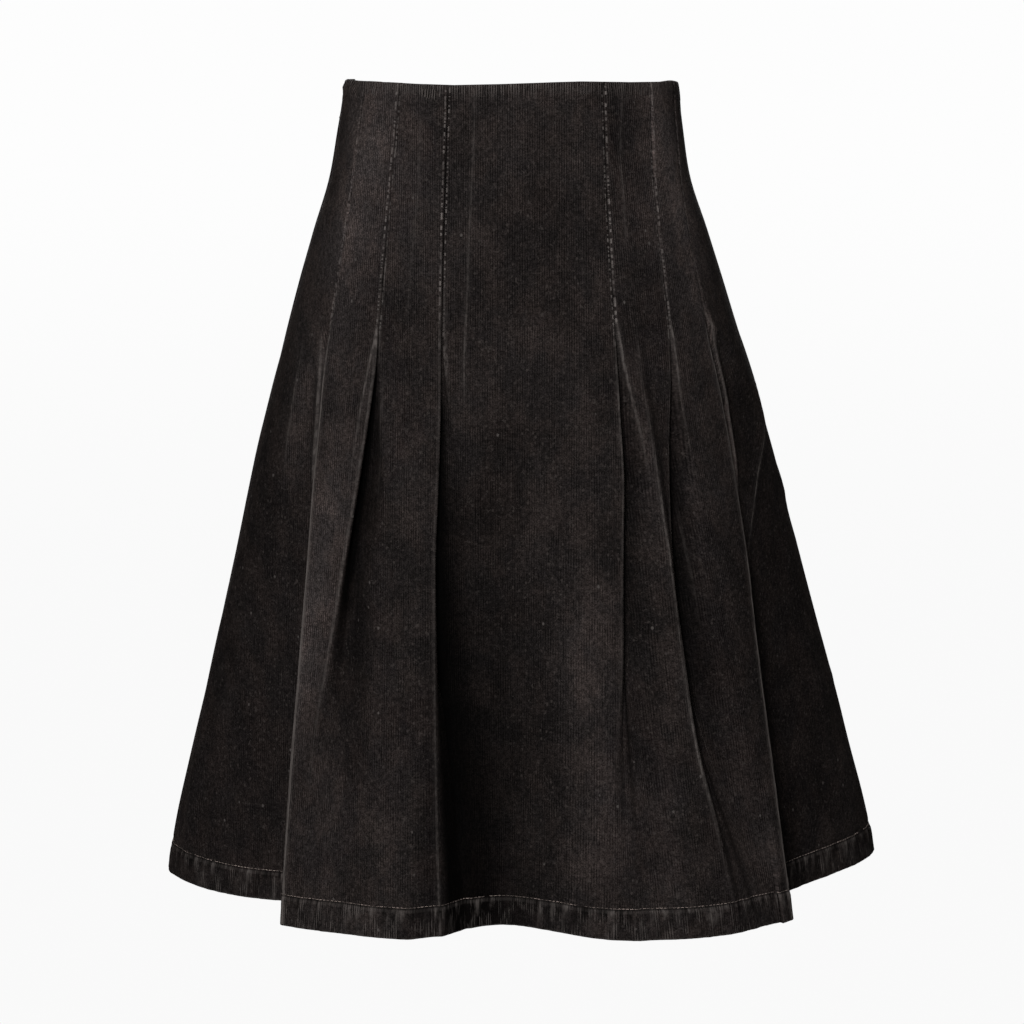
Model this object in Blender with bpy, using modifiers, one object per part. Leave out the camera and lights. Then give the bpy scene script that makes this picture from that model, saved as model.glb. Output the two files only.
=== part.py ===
"""Worn A-line corduroy skirt with six stitched-down pleats, as closed solids.

Metres, +Z up.  The origin is the centre of the waist opening at the level of
its top edge.  The front faces -Y, so left and right below are a viewer's, and
+X is on the right.

Each cloth piece is a sheet lofted through level sections.  A section starts
from a ring, the outline that the fold edges touch, and is drawn as a profile
along it: an arc position on the ring and a distance inwards from it.  Pleats
are Z-folds in that profile: the top layer ends at an edge, turns back under
itself for the overlap, turns again and comes out from beneath.
"""

import math

import bpy
import numpy as np

COLLECTION = "pleated_skirt"

# Cloth
WALL = 0.0012             # corduroy with its nap
LAYER = 0.0016            # middle to middle of two layers pressed together
SEAM_GAP = 0.0003         # between the front's and the back's cut edges
HEM_DROP = 0.589          # waist edge down to the hem
TURN_UP = 0.022           # height of the turned-up hem
SIDE_TURN = 4.5           # degrees that the skirt has turned on its wearer

# Rings: one row for each level, as reaches from the origin to each side
RING_ROWS = (
    # drop, left, right, front, back
    (0.000, 0.1215, 0.1210, 0.0920, 0.0900),
    (0.030, 0.1265, 0.1245, 0.0940, 0.0920),
    (0.070, 0.1335, 0.1305, 0.0985, 0.0985),
    (0.110, 0.1460, 0.1435, 0.1080, 0.1120),
    (0.175, 0.1640, 0.1635, 0.1240, 0.1320),
    (0.260, 0.1865, 0.1890, 0.1420, 0.1500),
    (0.400, 0.2175, 0.2270, 0.1720, 0.1780),
    (0.567, 0.2550, 0.2705, 0.2155, 0.2135),
    (0.589, 0.2585, 0.2745, 0.2170, 0.2150),
)

# Front pleats, left to right.  "over" is the side whose layer lies on top.
# Each list holds the value at the drops below: the edge's x, how far the fold
# laps back under the top layer (negative once it has opened out), how deep
# the lower layer lies behind the edge, and how far it takes to come back out.
# It comes out on an S, or by a power of the distance on the two side panels.
PLEAT_DROPS = (0.0, 0.085, 0.175, 0.28, 0.40, 0.589)
PLEATS = (
    dict(over="right",
         edge_x=(-0.1045, -0.1155, -0.1295, -0.1419, -0.1513, -0.1642),
         overlap=(0.013, 0.014, 0.015, 0.015, 0.013, 0.012),
         step=(0.0032, 0.0032, 0.0032, 0.013, 0.034, 0.068),
         reach=(0.008, 0.008, 0.012, 0.060, 0.120, 0.190), power=1.0),
    dict(over="left",
         edge_x=(-0.0806, -0.0885, -0.0959, -0.1099, -0.1290, -0.1480),
         overlap=(0.013, 0.014, 0.015, 0.010, -0.004, -0.024),
         step=(0.0032, 0.0032, 0.0032, 0.012, 0.013, 0.002),
         reach=(0.008, 0.008, 0.008, 0.022, 0.030, 0.030)),
    dict(over="left",
         edge_x=(-0.0460, -0.0487, -0.0503, -0.0523, -0.0540, -0.0500),
         overlap=(0.018, 0.018, 0.018, 0.014, 0.003, -0.014),
         step=(0.0032, 0.0032, 0.0032, 0.007, 0.013, 0.028),
         reach=(0.008, 0.008, 0.008, 0.020, 0.040, 0.070)),
    dict(over="left",
         edge_x=(0.0639, 0.0668, 0.0725, 0.0782, 0.0769, 0.0714),
         overlap=(0.018, 0.018, 0.018, 0.012, -0.002, -0.022),
         step=(0.0032, 0.0032, 0.0032, 0.011, 0.010, 0.002),
         reach=(0.008, 0.008, 0.008, 0.022, 0.030, 0.030)),
    dict(over="left",
         edge_x=(0.0983, 0.1020, 0.1116, 0.1136, 0.1194, 0.1563),
         overlap=(0.016, 0.016, 0.016, 0.011, 0.003, -0.020),
         step=(0.0032, 0.0032, 0.0032, 0.009, 0.016, 0.004),
         reach=(0.008, 0.008, 0.008, 0.018, 0.035, 0.040)),
    dict(over="left",
         edge_x=(0.1160, 0.1232, 0.1394, 0.1604, 0.1759, 0.1977),
         overlap=(0.013, 0.014, 0.015, 0.016, 0.014, 0.013),
         step=(0.0032, 0.0032, 0.0032, 0.011, 0.026, 0.046),
         reach=(0.008, 0.008, 0.012, 0.080, 0.140, 0.210), power=2.5),
)
EDGE_WIDTHS = (0.0016, 0.0016, 0.0016, 0.0022, 0.0036, 0.0086)   # of a fold, at those drops
OPEN_SPREAD = 0.3         # share of an opened fold's width that rounds each of its edges
OPEN_LEAD = 0.006         # flat stretch beyond an opened fold
EDGE_LEAD = 0.012         # flat stretch of the top layer before its edge
SEAM_LEAD = 0.006         # stretch of each side panel that keeps to the ring by its seam
PANEL_COLUMNS = (4, 3, 3, 6, 3, 3, 4)                     # spans across each front panel
REACH_COLUMNS = 4                                         # spans where a layer comes out

# Flutes: waves that open towards the hem, by their place round the ring
FLUTE_START = 0.16        # drop where they begin
FLUTE_POWER = 1.3         # how they grow with the drop
FLUTES = (
    # angle, half width in degrees, height outwards at the hem
    (22.0, 15.0, -0.024),
    (42.0, 16.0, 0.015),
    (63.0, 15.0, -0.038),
    (88.0, 18.0, 0.017),
    (112.0, 15.0, -0.042),
    (136.0, 16.0, 0.016),
    (157.0, 14.0, -0.026),
    (258.0, 5.0, -0.012),
    (272.5, 16.0, -0.035),
    (301.0, 26.0, 0.012),
)

# Soft ridge where the panel right of the fourth pleat is folded on itself
RIDGE = dict(top_drop=0.175, top_x=0.088, low_drop=0.345, low_x=0.113, height=0.0035, width=0.011)

# Back: an elastic in a casing gathers the top edge
GATHERS = 13
GATHER_COLUMNS = 5        # spans across one gather
GATHER_HEIGHT = 0.0058    # crest to trough at the casing
GATHER_DROPS = (0.0, 0.030, 0.070, 0.120, 0.170, 0.589)
GATHER_SHARES = (1.0, 1.0, 0.62, 0.25, 0.0, 0.0)
CASING_HEIGHT = 0.028
CASING_WALL = 0.0026      # elastic between two layers of cloth
CASING_COLUMNS = 56
CASING_TOP = 0.0008       # its top edge, below the cloth's
CASING_MARGIN = 0.004     # from each side seam

# Top edge and hem are not quite level: rise at these places round the ring
EDGE_RISES = (
    # angle, half width, rise at the waist, rise at the hem
    (184.0, 9.0, 0.0030, 0.0),
    (184.0, 26.0, 0.0, 0.0030),
    (362.0, 9.0, 0.0025, 0.0),
    (362.0, 40.0, 0.0, 0.0070),
)

# Levels of the loft, by drop
ROW_DROPS = (0.0, 0.028, 0.060, 0.100, 0.140, 0.172, 0.185, 0.210, 0.250, 0.300,
             0.355, 0.410, 0.465, 0.520)

RING_STEPS = 1440         # samples round a ring
SEAM_SAMPLES = 20         # samples by each side seam where x isn't yet a measure of the arc


def smooth_value(stops, values, place):
    """Monotone cubic through the values, so nothing overshoots between stops."""
    stops = np.asarray(stops)
    values = np.asarray(values)
    place = min(max(place, stops[0]), stops[-1])
    spans = np.diff(stops)
    slopes = np.diff(values) / spans
    tangents = np.concatenate(([slopes[0]], 0.5 * (slopes[:-1] + slopes[1:]), [slopes[-1]]))
    for index, slope in enumerate(slopes):
        limit = 3.0 * abs(slope)
        for end in (index, index + 1):
            same_way = tangents[end] * slope > 0.0
            tangents[end] = math.copysign(min(abs(tangents[end]), limit), slope) if same_way else 0.0
    index = min(int(np.searchsorted(stops, place, side="right")) - 1, len(spans) - 1)
    part = (place - stops[index]) / spans[index]
    rise = values[index + 1] - values[index]
    start = tangents[index] * spans[index]
    end = tangents[index + 1] * spans[index]
    cubic = start + end - 2.0 * rise
    square = 3.0 * rise - 2.0 * start - end
    return values[index] + part * (start + part * (square + part * cubic))


def ease(part):
    """Smooth step from 0 to 1."""
    part = min(max(part, 0.0), 1.0)
    return part * part * (3.0 - 2.0 * part)


def bump(part):
    """Rounded hill: 1 at the middle, 0 at and beyond a distance of 1."""
    return math.cos(0.5 * math.pi * part) ** 2 if abs(part) < 1.0 else 0.0


def round_gap(angle, centre):
    """Difference of two angles in degrees, the short way round."""
    return (angle - centre + 180.0) % 360.0 - 180.0


class Ring:
    """The level outline at one drop, from the left side seam round by the front."""

    def __init__(self, drop):
        self.drop = drop
        table = np.array(RING_ROWS)
        left, right, front, back = [smooth_value(table[:, 0], table[:, column], drop)
                                    for column in (1, 2, 3, 4)]
        self.angles = 180.0 + SIDE_TURN + np.linspace(0.0, 360.0, RING_STEPS + 1)
        cosines = np.cos(np.radians(self.angles))
        sines = np.sin(np.radians(self.angles))
        half_widths = np.where(cosines < 0.0, left, right)
        half_depths = np.where(sines < 0.0, front, back)
        self.points = np.column_stack((half_widths * cosines, half_depths * sines))
        outward = np.column_stack((cosines / half_widths, sines / half_depths))
        self.outward = outward / np.linalg.norm(outward, axis=1)[:, None]
        steps = np.linalg.norm(np.diff(self.points, axis=0), axis=1)
        self.arcs = np.concatenate(([0.0], np.cumsum(steps)))
        self.right_seam = self.arcs[RING_STEPS // 2]
        self.length = self.arcs[-1]

    def arc_at_x(self, x):
        """Arc position on the front of the ring with this x."""
        front = slice(SEAM_SAMPLES, RING_STEPS // 2 - SEAM_SAMPLES)
        return float(np.interp(x, self.points[front, 0], self.arcs[front]))

    def angle_at(self, arc):
        return float(np.interp(arc, self.arcs, self.angles))

    def place(self, arc, inward):
        """Plan point at an arc position, moved inwards from the ring."""
        point = [np.interp(arc, self.arcs, self.points[:, axis]) for axis in (0, 1)]
        outward = [np.interp(arc, self.arcs, self.outward[:, axis]) for axis in (0, 1)]
        return np.array(point) - inward * np.array(outward)


def flute_height(drop, angle):
    """How far the flutes push the cloth outwards."""
    growth = max(0.0, (drop - FLUTE_START) / (HEM_DROP - FLUTE_START)) ** FLUTE_POWER
    return growth * sum(height * bump(round_gap(angle, centre) / half_width)
                        for centre, half_width, height in FLUTES)


def ridge_height(ring, arc):
    """Height of the slanting soft ridge at an arc position."""
    along = (ring.drop - RIDGE["top_drop"]) / (RIDGE["low_drop"] - RIDGE["top_drop"])
    if not 0.0 < along < 1.0:
        return 0.0
    crest = ring.arc_at_x(RIDGE["top_x"] + along * (RIDGE["low_x"] - RIDGE["top_x"]))
    return RIDGE["height"] * math.sin(math.pi * along) * bump((arc - crest) / RIDGE["width"])


def rounded_pair(approach, first, second, leave, radius):
    """Five points that round two neighbouring corners of a polyline."""
    approach, first, second, leave = [np.array(corner) for corner in (approach, first, second, leave)]
    start = first + (approach - first) * min(0.4, radius / np.linalg.norm(approach - first))
    end = second + (leave - second) * min(0.4, radius / np.linalg.norm(leave - second))
    centre = 0.5 * (first + second)
    first_middle = 0.25 * start + 0.5 * first + 0.25 * centre
    second_middle = 0.25 * centre + 0.5 * second + 0.25 * end
    return [start, first_middle, centre, second_middle, end]


class Fold:
    """One pleat's measures and profile at one level."""

    def __init__(self, pleat, ring):
        edge_x, overlap, step, reach = [smooth_value(PLEAT_DROPS, pleat[key], ring.drop)
                                        for key in ("edge_x", "overlap", "step", "reach")]
        self.over_left = pleat["over"] == "left"
        self.step = step
        self.reach = reach
        self.power = pleat.get("power")
        forward = 1.0 if self.over_left else -1.0
        self.forward = forward
        edge = ring.arc_at_x(edge_x)
        width = min(smooth_value(PLEAT_DROPS, EDGE_WIDTHS, ring.drop), 0.5 * step)
        inner = edge - forward * overlap
        spread = OPEN_SPREAD * max(0.0, -overlap)
        self.lower = edge if overlap > 0.0 else inner + forward * OPEN_LEAD
        corners = [(edge - forward * EDGE_LEAD, 0.0),
                   (edge, 0.0),
                   (edge + forward * spread, width),
                   (inner - forward * spread, step - width),
                   (inner, step),
                   (self.lower, step)]
        radius = 0.5 * (width + spread)
        self.points = rounded_pair(*corners[0:4], radius) + rounded_pair(*corners[2:6], radius)
        self.points.append(np.array(corners[-1]))

    def depth(self, arc):
        """How deep the lower layer lies beyond the fold."""
        part = min(max(self.forward * (arc - self.lower) / self.reach, 0.0), 1.0)
        if self.power:
            return self.step * (1.0 - part ** self.power)
        return self.step * (1.0 - ease(part))


def panel_points(start, end, spans, fold=None):
    """Profile points between two arc positions, both left out.

    Where the panel comes out from beneath a fold it starts there, with more
    columns over the stretch where it rises to the ring.
    """
    if fold is None:
        return [np.array((start + (end - start) * index / spans, 0.0)) for index in range(1, spans)]
    near = start + fold.forward * min(fold.reach, 0.5 * abs(end - start))
    arcs = [start + (near - start) * index / REACH_COLUMNS for index in range(1, REACH_COLUMNS)]
    arcs += [near + (end - near) * index / spans for index in range(spans)]
    return [np.array((arc, fold.depth(arc))) for arc in arcs]


def front_profile(ring):
    """Arc positions and inward distances across the front, left seam to right seam."""
    folds = [Fold(pleat, ring) for pleat in PLEATS]
    left_end = SEAM_LEAD
    right_end = ring.right_seam - SEAM_LEAD
    folds[0].reach = min(folds[0].reach, folds[0].lower - left_end)
    folds[-1].reach = min(folds[-1].reach, right_end - folds[-1].lower)
    profile = [np.array((0.5 * SEAM_GAP, 0.0)), np.array((left_end, 0.0))]
    profile += panel_points(folds[0].lower, left_end, PANEL_COLUMNS[0], folds[0])[::-1]
    profile += folds[0].points[::-1]
    for index, fold in enumerate(folds[1:], start=1):
        before = folds[index - 1]
        start = profile[-1][0]
        profile += panel_points(start, fold.points[0][0], PANEL_COLUMNS[index],
                                before if before.over_left else None)
        profile += fold.points
    profile += panel_points(folds[-1].lower, right_end, PANEL_COLUMNS[-1], folds[-1])
    profile += [np.array((right_end, 0.0)), np.array((ring.right_seam - 0.5 * SEAM_GAP, 0.0))]
    return profile


def gather_depth(drop, part):
    """Inward distance of the gathers at a share of the way across the back."""
    share = smooth_value(GATHER_DROPS, GATHER_SHARES, drop)
    return 0.5 * GATHER_HEIGHT * share * (1.0 - math.cos(2.0 * math.pi * GATHERS * part))


def back_profile(ring):
    """Arc positions and inward distances across the back, right seam to left seam."""
    start = ring.right_seam + 0.5 * SEAM_GAP
    end = ring.length - 0.5 * SEAM_GAP
    columns = GATHERS * GATHER_COLUMNS
    return [np.array((start + (end - start) * index / columns, gather_depth(ring.drop, index / columns)))
            for index in range(columns + 1)]


def height_at(drop, angle):
    """Height of the cloth, with the uneven top edge and hem."""
    share = drop / HEM_DROP
    rise = sum(bump(round_gap(angle, centre) / half_width) * (top * (1.0 - share) ** 4 + low * share)
               for centre, half_width, top, low in EDGE_RISES)
    return rise - drop


def place_profile(ring, profile):
    """World points of a profile, with flutes and ridge added."""
    points = []
    for arc, inward in profile:
        angle = ring.angle_at(arc)
        inward = inward - flute_height(ring.drop, angle) - ridge_height(ring, arc)
        x, y = ring.place(arc, inward)
        points.append((x, y, height_at(ring.drop, angle)))
    return np.array(points)


def moved_in(points, distance):
    """A section's points, moved in by a distance along the cloth's own normal."""
    plan = points[:, :2]
    lines = np.diff(plan, axis=0)
    lines = lines / np.linalg.norm(lines, axis=1)[:, None]
    normals = np.column_stack((-lines[:, 1], lines[:, 0]))
    before = np.vstack((normals[:1], normals))
    after = np.vstack((normals, normals[-1:]))
    middle = before + after
    middle = middle / np.sum(middle * before, axis=1)[:, None]
    moved = points.copy()
    moved[:, :2] = plan + distance * middle
    return moved


def cloth_rows(profile_of):
    """Sections from the top edge to the hem, and up again inside the turn-up."""
    rows = []
    for drop in ROW_DROPS + (HEM_DROP - TURN_UP, HEM_DROP - 0.5 * LAYER):
        ring = Ring(drop)
        rows.append(place_profile(ring, profile_of(ring)))
    bottom = moved_in(rows[-1], 0.5 * LAYER)
    bottom[:, 2] -= 0.5 * LAYER
    rows += [bottom, moved_in(rows[-1], LAYER), moved_in(rows[-2], LAYER)]
    return rows


def casing_rows():
    """The elastic's casing, a plain band inside the gathers."""
    rows = []
    inward = GATHER_HEIGHT + 0.5 * WALL + SEAM_GAP + 0.5 * CASING_WALL
    for drop in (CASING_TOP, 0.5 * CASING_HEIGHT, CASING_HEIGHT):
        ring = Ring(drop)
        arcs = np.linspace(ring.right_seam + CASING_MARGIN, ring.length - CASING_MARGIN, CASING_COLUMNS)
        rows.append(np.array([(*ring.place(arc, inward), -drop) for arc in arcs]))
    return rows


def cloth_material(name, colour, roughness):
    material = bpy.data.materials.new(name)
    material.use_nodes = True
    shader = material.node_tree.nodes["Principled BSDF"]
    shader.inputs["Base Color"].default_value = (*colour, 1.0)
    shader.inputs["Roughness"].default_value = roughness
    shader.inputs["Metallic"].default_value = 0.0
    return material


def sheet_object(name, rows, wall, material, collection):
    """Loft an open sheet through the rows and give it a wall."""
    columns = len(rows[0])
    vertices = [tuple(point) for row in rows for point in row]
    faces = []
    for row in range(len(rows) - 1):
        for column in range(columns - 1):
            first = row * columns + column
            faces.append((first, first + columns, first + columns + 1, first + 1))
    mesh = bpy.data.meshes.new(name)
    mesh.from_pydata(vertices, [], faces)
    mesh.materials.append(material)
    mesh.shade_smooth()
    sheet = bpy.data.objects.new(name, mesh)
    collection.objects.link(sheet)
    solidify = sheet.modifiers.new("wall", "SOLIDIFY")
    solidify.thickness = wall
    solidify.offset = 0.0
    return sheet


def build_skirt():
    for leftover in list(bpy.data.objects):
        bpy.data.objects.remove(leftover, do_unlink=True)
    collection = bpy.data.collections.new(COLLECTION)
    bpy.context.scene.collection.children.link(collection)
    corduroy = cloth_material("washed_black_corduroy", (0.020, 0.016, 0.015), 0.92)
    casing = cloth_material("casing_cloth", (0.016, 0.013, 0.012), 0.95)
    sheet_object("front", cloth_rows(front_profile), WALL, corduroy, collection)
    sheet_object("back", cloth_rows(back_profile), WALL, corduroy, collection)
    sheet_object("back_casing", casing_rows(), CASING_WALL, casing, collection)


build_skirt()
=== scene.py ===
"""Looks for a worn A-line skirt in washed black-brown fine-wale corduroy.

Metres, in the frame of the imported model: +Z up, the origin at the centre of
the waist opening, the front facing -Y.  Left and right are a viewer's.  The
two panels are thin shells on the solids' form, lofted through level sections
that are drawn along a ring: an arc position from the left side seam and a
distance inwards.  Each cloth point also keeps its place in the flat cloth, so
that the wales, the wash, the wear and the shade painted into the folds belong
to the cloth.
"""

import math

import bpy
import numpy as np
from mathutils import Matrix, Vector, noise


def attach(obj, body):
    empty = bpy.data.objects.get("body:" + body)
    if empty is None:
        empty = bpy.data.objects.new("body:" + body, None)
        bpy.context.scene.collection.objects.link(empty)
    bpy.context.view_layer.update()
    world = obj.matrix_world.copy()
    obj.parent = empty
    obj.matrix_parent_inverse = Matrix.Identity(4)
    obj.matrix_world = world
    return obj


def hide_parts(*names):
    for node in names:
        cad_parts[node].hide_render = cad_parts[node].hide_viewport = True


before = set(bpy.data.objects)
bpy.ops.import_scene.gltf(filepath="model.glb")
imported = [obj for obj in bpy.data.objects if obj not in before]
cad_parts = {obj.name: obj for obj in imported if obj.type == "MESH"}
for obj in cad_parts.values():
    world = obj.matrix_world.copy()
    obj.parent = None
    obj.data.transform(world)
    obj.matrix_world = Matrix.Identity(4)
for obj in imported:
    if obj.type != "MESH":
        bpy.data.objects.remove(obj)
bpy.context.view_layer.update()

# Cloth
WALL = 0.0012
LAYER = 0.0016            # middle to middle of two layers pressed together
HEM_DROP = 0.589          # waist edge down to the hem
TURN_UP = 0.022           # height of the turned-up hem
HEM_LINE = HEM_DROP - TURN_UP
SIDE_TURN = 4.5           # degrees that the skirt has turned on its wearer
WALE = 0.00175            # from one wale to the next

# Rings: one row for each level, as reaches from the origin to each side
RING_ROWS = (
    # drop, left, right, front, back
    (0.000, 0.1215, 0.1210, 0.0920, 0.0900),
    (0.030, 0.1265, 0.1245, 0.0940, 0.0920),
    (0.070, 0.1335, 0.1305, 0.0985, 0.0985),
    (0.110, 0.1460, 0.1435, 0.1080, 0.1120),
    (0.175, 0.1640, 0.1635, 0.1240, 0.1320),
    (0.260, 0.1865, 0.1890, 0.1420, 0.1500),
    (0.400, 0.2175, 0.2270, 0.1720, 0.1780),
    (0.567, 0.2550, 0.2705, 0.2155, 0.2135),
    (0.589, 0.2585, 0.2745, 0.2170, 0.2150),
)

# Front pleats, left to right, each by its values at the drops below: the edge's
# x, how far the fold laps back under the top layer (negative once it has opened
# out), how deep the lower layer lies behind the edge, how far it takes to come
# back out, how far beyond the edge the cloth is painted darker and how much
# (painted shade, with some dye kept in the fold), how worn the edge is, with a
# painted highlight along it, and how worn the lower layer's crease is.  Where the top
# layer rolls in towards its edge, crest_x is where that starts and sink how deep it
# gets.  "late" and "straight" shape how a side panel comes out.  "dash" is how worn
# the stitched part is, and "unwashed" how much darker the whole inside is painted:
# dye kept in the fold and painted shade.
RELEASE = 0.176           # drop where the stitching ends and the pleats open
PLEAT_DROPS = (0.0, 0.085, 0.172, 0.190, 0.210, 0.235, 0.280, 0.340, 0.400, 0.460, 0.520, 0.589)
PLEATS = (
    dict(over="right", dash=0.5, straight=0.55, inside_dye_and_shade=0.25,
         edge_x=(-.1045, -.1155, -.1295, -.1325, -.1350, -.1373,
                 -.1419, -.1466, -.1513, -.1563, -.1605, -.1642),
         overlap=(.013, .014, .015, .015, .015, .015, .015, .014, .013, .0125, .012, .012),
         step=(.0032, .0032, .0034, .0050, .0066, .0085, .0130, .0230, .0340, .0450, .0560, .0680),
         reach=(.002, .002, .004, .014, .028, .042, .060, .090, .120, .146, .170, .190),
         gap=(0, 0, .001, .002, .003, .0035, .004, .004, .004, .004, .005, .006),
         dark=(0, 0, .1, .2, .4, .5, .5, .5, .5, .5, .5, .5),
         edge_wear=(0, 0, .1, .4, .6, .8, 1, 1, 1, 1, 1, 1)),
    dict(over="left", dash=0.9,
         edge_x=(-.0806, -.0885, -.0957, -.0975, -.1000, -.1035,
                 -.1099, -.1195, -.1290, -.1383, -.1438, -.1480),
         overlap=(.013, .014, .015, .015, .014, .013, .010, .003, -.004, -.010, -.017, -.024),
         step=(.0032, .0032, .0034, .0055, .0080, .0105, .0130, .0130, .0130, .0100, .0055, .0020),
         reach=(.002, .002, .002, .004, .007, .012, .022, .027, .030, .030, .030, .030),
         crest_x=(-.0856, -.0935, -.0977, -.1003, -.1041, -.1086,
                  -.1149, -.1245, -.1340, -.1430, -.1490, -.1530),
         sink=(0, 0, 0, .0010, .0018, .0020, .0010, 0, 0, 0, 0, 0),
         gap=(0, 0, .001, .0015, .0020, .0025, .0040, .0100, .0130, .0100, .0050, .0050),
         dark=(0, 0, .2, .6, 1, 1, 1, 1, .6, .1, 0, 0),
         edge_wear=(0, 0, .1, .2, .2, .2, .2, .2, .15, .05, 0, 0),
         mate_wear=(0, 0, .8, .4, 0, 0, 0, 0, 0, 0, 0, 0)),
    dict(over="left", dash=1.0, inside_dye_and_shade=0.80,
         edge_x=(-.0460, -.0487, -.0503, -.0504, -.0505, -.0509,
                 -.0523, -.0543, -.0540, -.0533, -.0521, -.0500),
         overlap=(.018, .018, .018, .018, .017, .016, .014, .009, .003, -.003, -.0088, -.014),
         step=(.0032, .0032, .0032, .0036, .0045, .0060, .0080, .0105, .0130, .0178, .0226, .0280),
         reach=(.002, .002, .002, .003, .005, .009, .020, .030, .040, .051, .061, .070),
         gap=(0, 0, 0, .001, .003, .007, .014, .026, .036, .042, .046, .048),
         dark=(0, 0, 0, .25, .6, 1, 1, 1, 1, 1, 1, 1),
         edge_wear=(0, 0, .1, .1, .1, .1, .1, .1, .1, .12, .16, .2),
         mate_wear=(0, 0, .6, .8, .3, 0, 0, 0, 0, 0, 0, 0)),
    dict(over="left", dash=1.0,
         edge_x=(.0639, .0668, .0723, .0736, .0748, .0760, .0782, .0772, .0769, .0745, .0733, .0714),
         overlap=(.018, .018, .018, .018, .017, .015, .012, .005, -.002, -.0086, -.015, -.022),
         step=(.0032, .0032, .0034, .0055, .0078, .0100, .0115, .0110, .0100, .0077, .0051, .0020),
         reach=(.002, .002, .0022, .0045, .0072, .0115, .0190, .0260, .0300, .0300, .0300, .0300),
         gap=(0, 0, 0, .003, .005, .008, .012, .013, .010, .005, .005, .005),
         dark=(0, 0, 0, .7, 1, 1, 1, 1, .3, 0, 0, 0),
         edge_wear=(0, 0, .1, .2, .3, .3, .2, .1, .1, 0, 0, 0),
         mate_wear=(0, 0, .4, 0, 0, 0, 0, 0, 0, 0, 0, 0)),
    dict(over="left", dash=0.8,
         edge_x=(.0983, .1020, .1113, .1122, .1130, .1138, .1136, .1140, .1194, .1275, .1410, .1563),
         overlap=(.016, .016, .016, .016, .015, .014, .011, .007, .003, -.0048, -.0125, -.020),
         step=(.0032, .0032, .0034, .0050, .0075, .0110, .0140, .0150, .0155, .0125, .0088, .0040),
         reach=(.002, .002, .0022, .0040, .0058, .0090, .0200, .0290, .0350, .0368, .0385, .0400),
         crest_x=(.0870, .0870, .0878, .0888, .0902, .0944, .1010, .1097, .1168, .1255, .1390, .1540),
         sink=(0, 0, 0, .0004, .0015, .0045, .0060, .0045, .0020, .0005, 0, 0),
         gap=(0, 0, 0, .001, .003, .010, .024, .036, .044, .044, .040, .034),
         dark=(0, 0, 0, .25, .5, 1, 1, 1, .8, .5, .2, 0),
         edge_wear=(0, 0, .1, .1, .1, .1, .1, .1, .2, .3, .1, 0),
         mate_wear=(0, 0, .4, 0, 0, 0, 0, 0, 0, 0, 0, 0)),
    dict(over="left", dash=0.25, late=1.6, inside_dye_and_shade=0.25,
         edge_x=(.1160, .1232, .1389, .1425, .1475, .1527, .1604, .1694, .1759, .1833, .1894, .1977),
         overlap=(.013, .014, .015, .015, .016, .016, .016, .015, .014, .0137, .0134, .013),
         step=(.0032, .0032, .0036, .0065, .0090, .0110, .0130, .0180, .0260, .0328, .0390, .0460),
         reach=(.002, .002, .008, .030, .045, .062, .088, .121, .154, .177, .201, .231),
         gap=(0, 0, .001, .003, .004, .004, .004, .004, .004, .004, .004, .004),
         dark=(0, 0, .2, .6, .6, .5, .4, .4, .4, .4, .4, .4),
         edge_wear=(0, 0, .1, .6, .8, .8, .8, .8, .9, 1.1, 1.4, 1.5)),
)
NONE_AT_ALL = (0,) * len(PLEAT_DROPS)
PRESSED_STEP = 0.0032     # a pleat's inside is painted darker, kept dye and painted shade, growing between these depths
OPENED_STEP = 0.0110
GAP_SHADE = 0.94          # how dark the cloth is painted just beyond an open fold: painted shade
INSIDE_DYE_AND_SHADE = 0.70           # and in the fold itself: painted shade and kept dye
SHADE_START = 0.35        # share of a fold's depth where the full shade starts
EDGE_WIDTHS = (.0016, .0016, .0016, .0016, .0017, .0018, .0022, .0028, .0036, .0049, .0065, .0086)
OPEN_SPREAD = 0.3         # share of an opened fold's width that rounds each of its edges
OPEN_LEAD = 0.006         # flat stretch beyond an opened fold
EDGE_LEAD = 0.012         # stretch of the top layer that a fold's outline starts with
ROLL_LEAD = 0.3           # or this share of a rolled edge
TOP_DEPTH = 0.0012        # the top layer's wear has faded at this depth
LEVEL_DEPTH = 0.0004      # deeper than this, a fold's outline isn't the panel's own
SEAM_LEAD = 0.006         # stretch of each side panel that keeps to the ring by its seam
CRISP_DROPS = (0.24, 0.34)    # between these the lower layers' creases turn soft
CRISP_POWER = 2.2
PANEL_COLUMNS = (44, 10, 16, 34, 16, 12, 46)
REACH_COLUMNS = 7         # columns where a lower layer comes out
FOLD_COLUMNS = 2          # columns for each turn of a fold's outline
GRADING = 1.5             # how much closer the side panels' columns lie by their folds
MATE_WIDTH = 0.0007       # width of the worn crease where a lower layer turns outwards
BACK_PANEL = 7            # the front's panels are 0 to 6 from the left
HIDDEN = -1

# Each front panel's wales: the x that they are counted from, and their lean to
# the right for each metre down
WALE_LINES = (
    (-0.150, -0.10), (-0.113, -0.07), (-0.070, 0.0), (0.010, 0.0),
    (0.088, 0.09), (0.128, 0.15), (0.165, 0.18),
)

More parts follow.
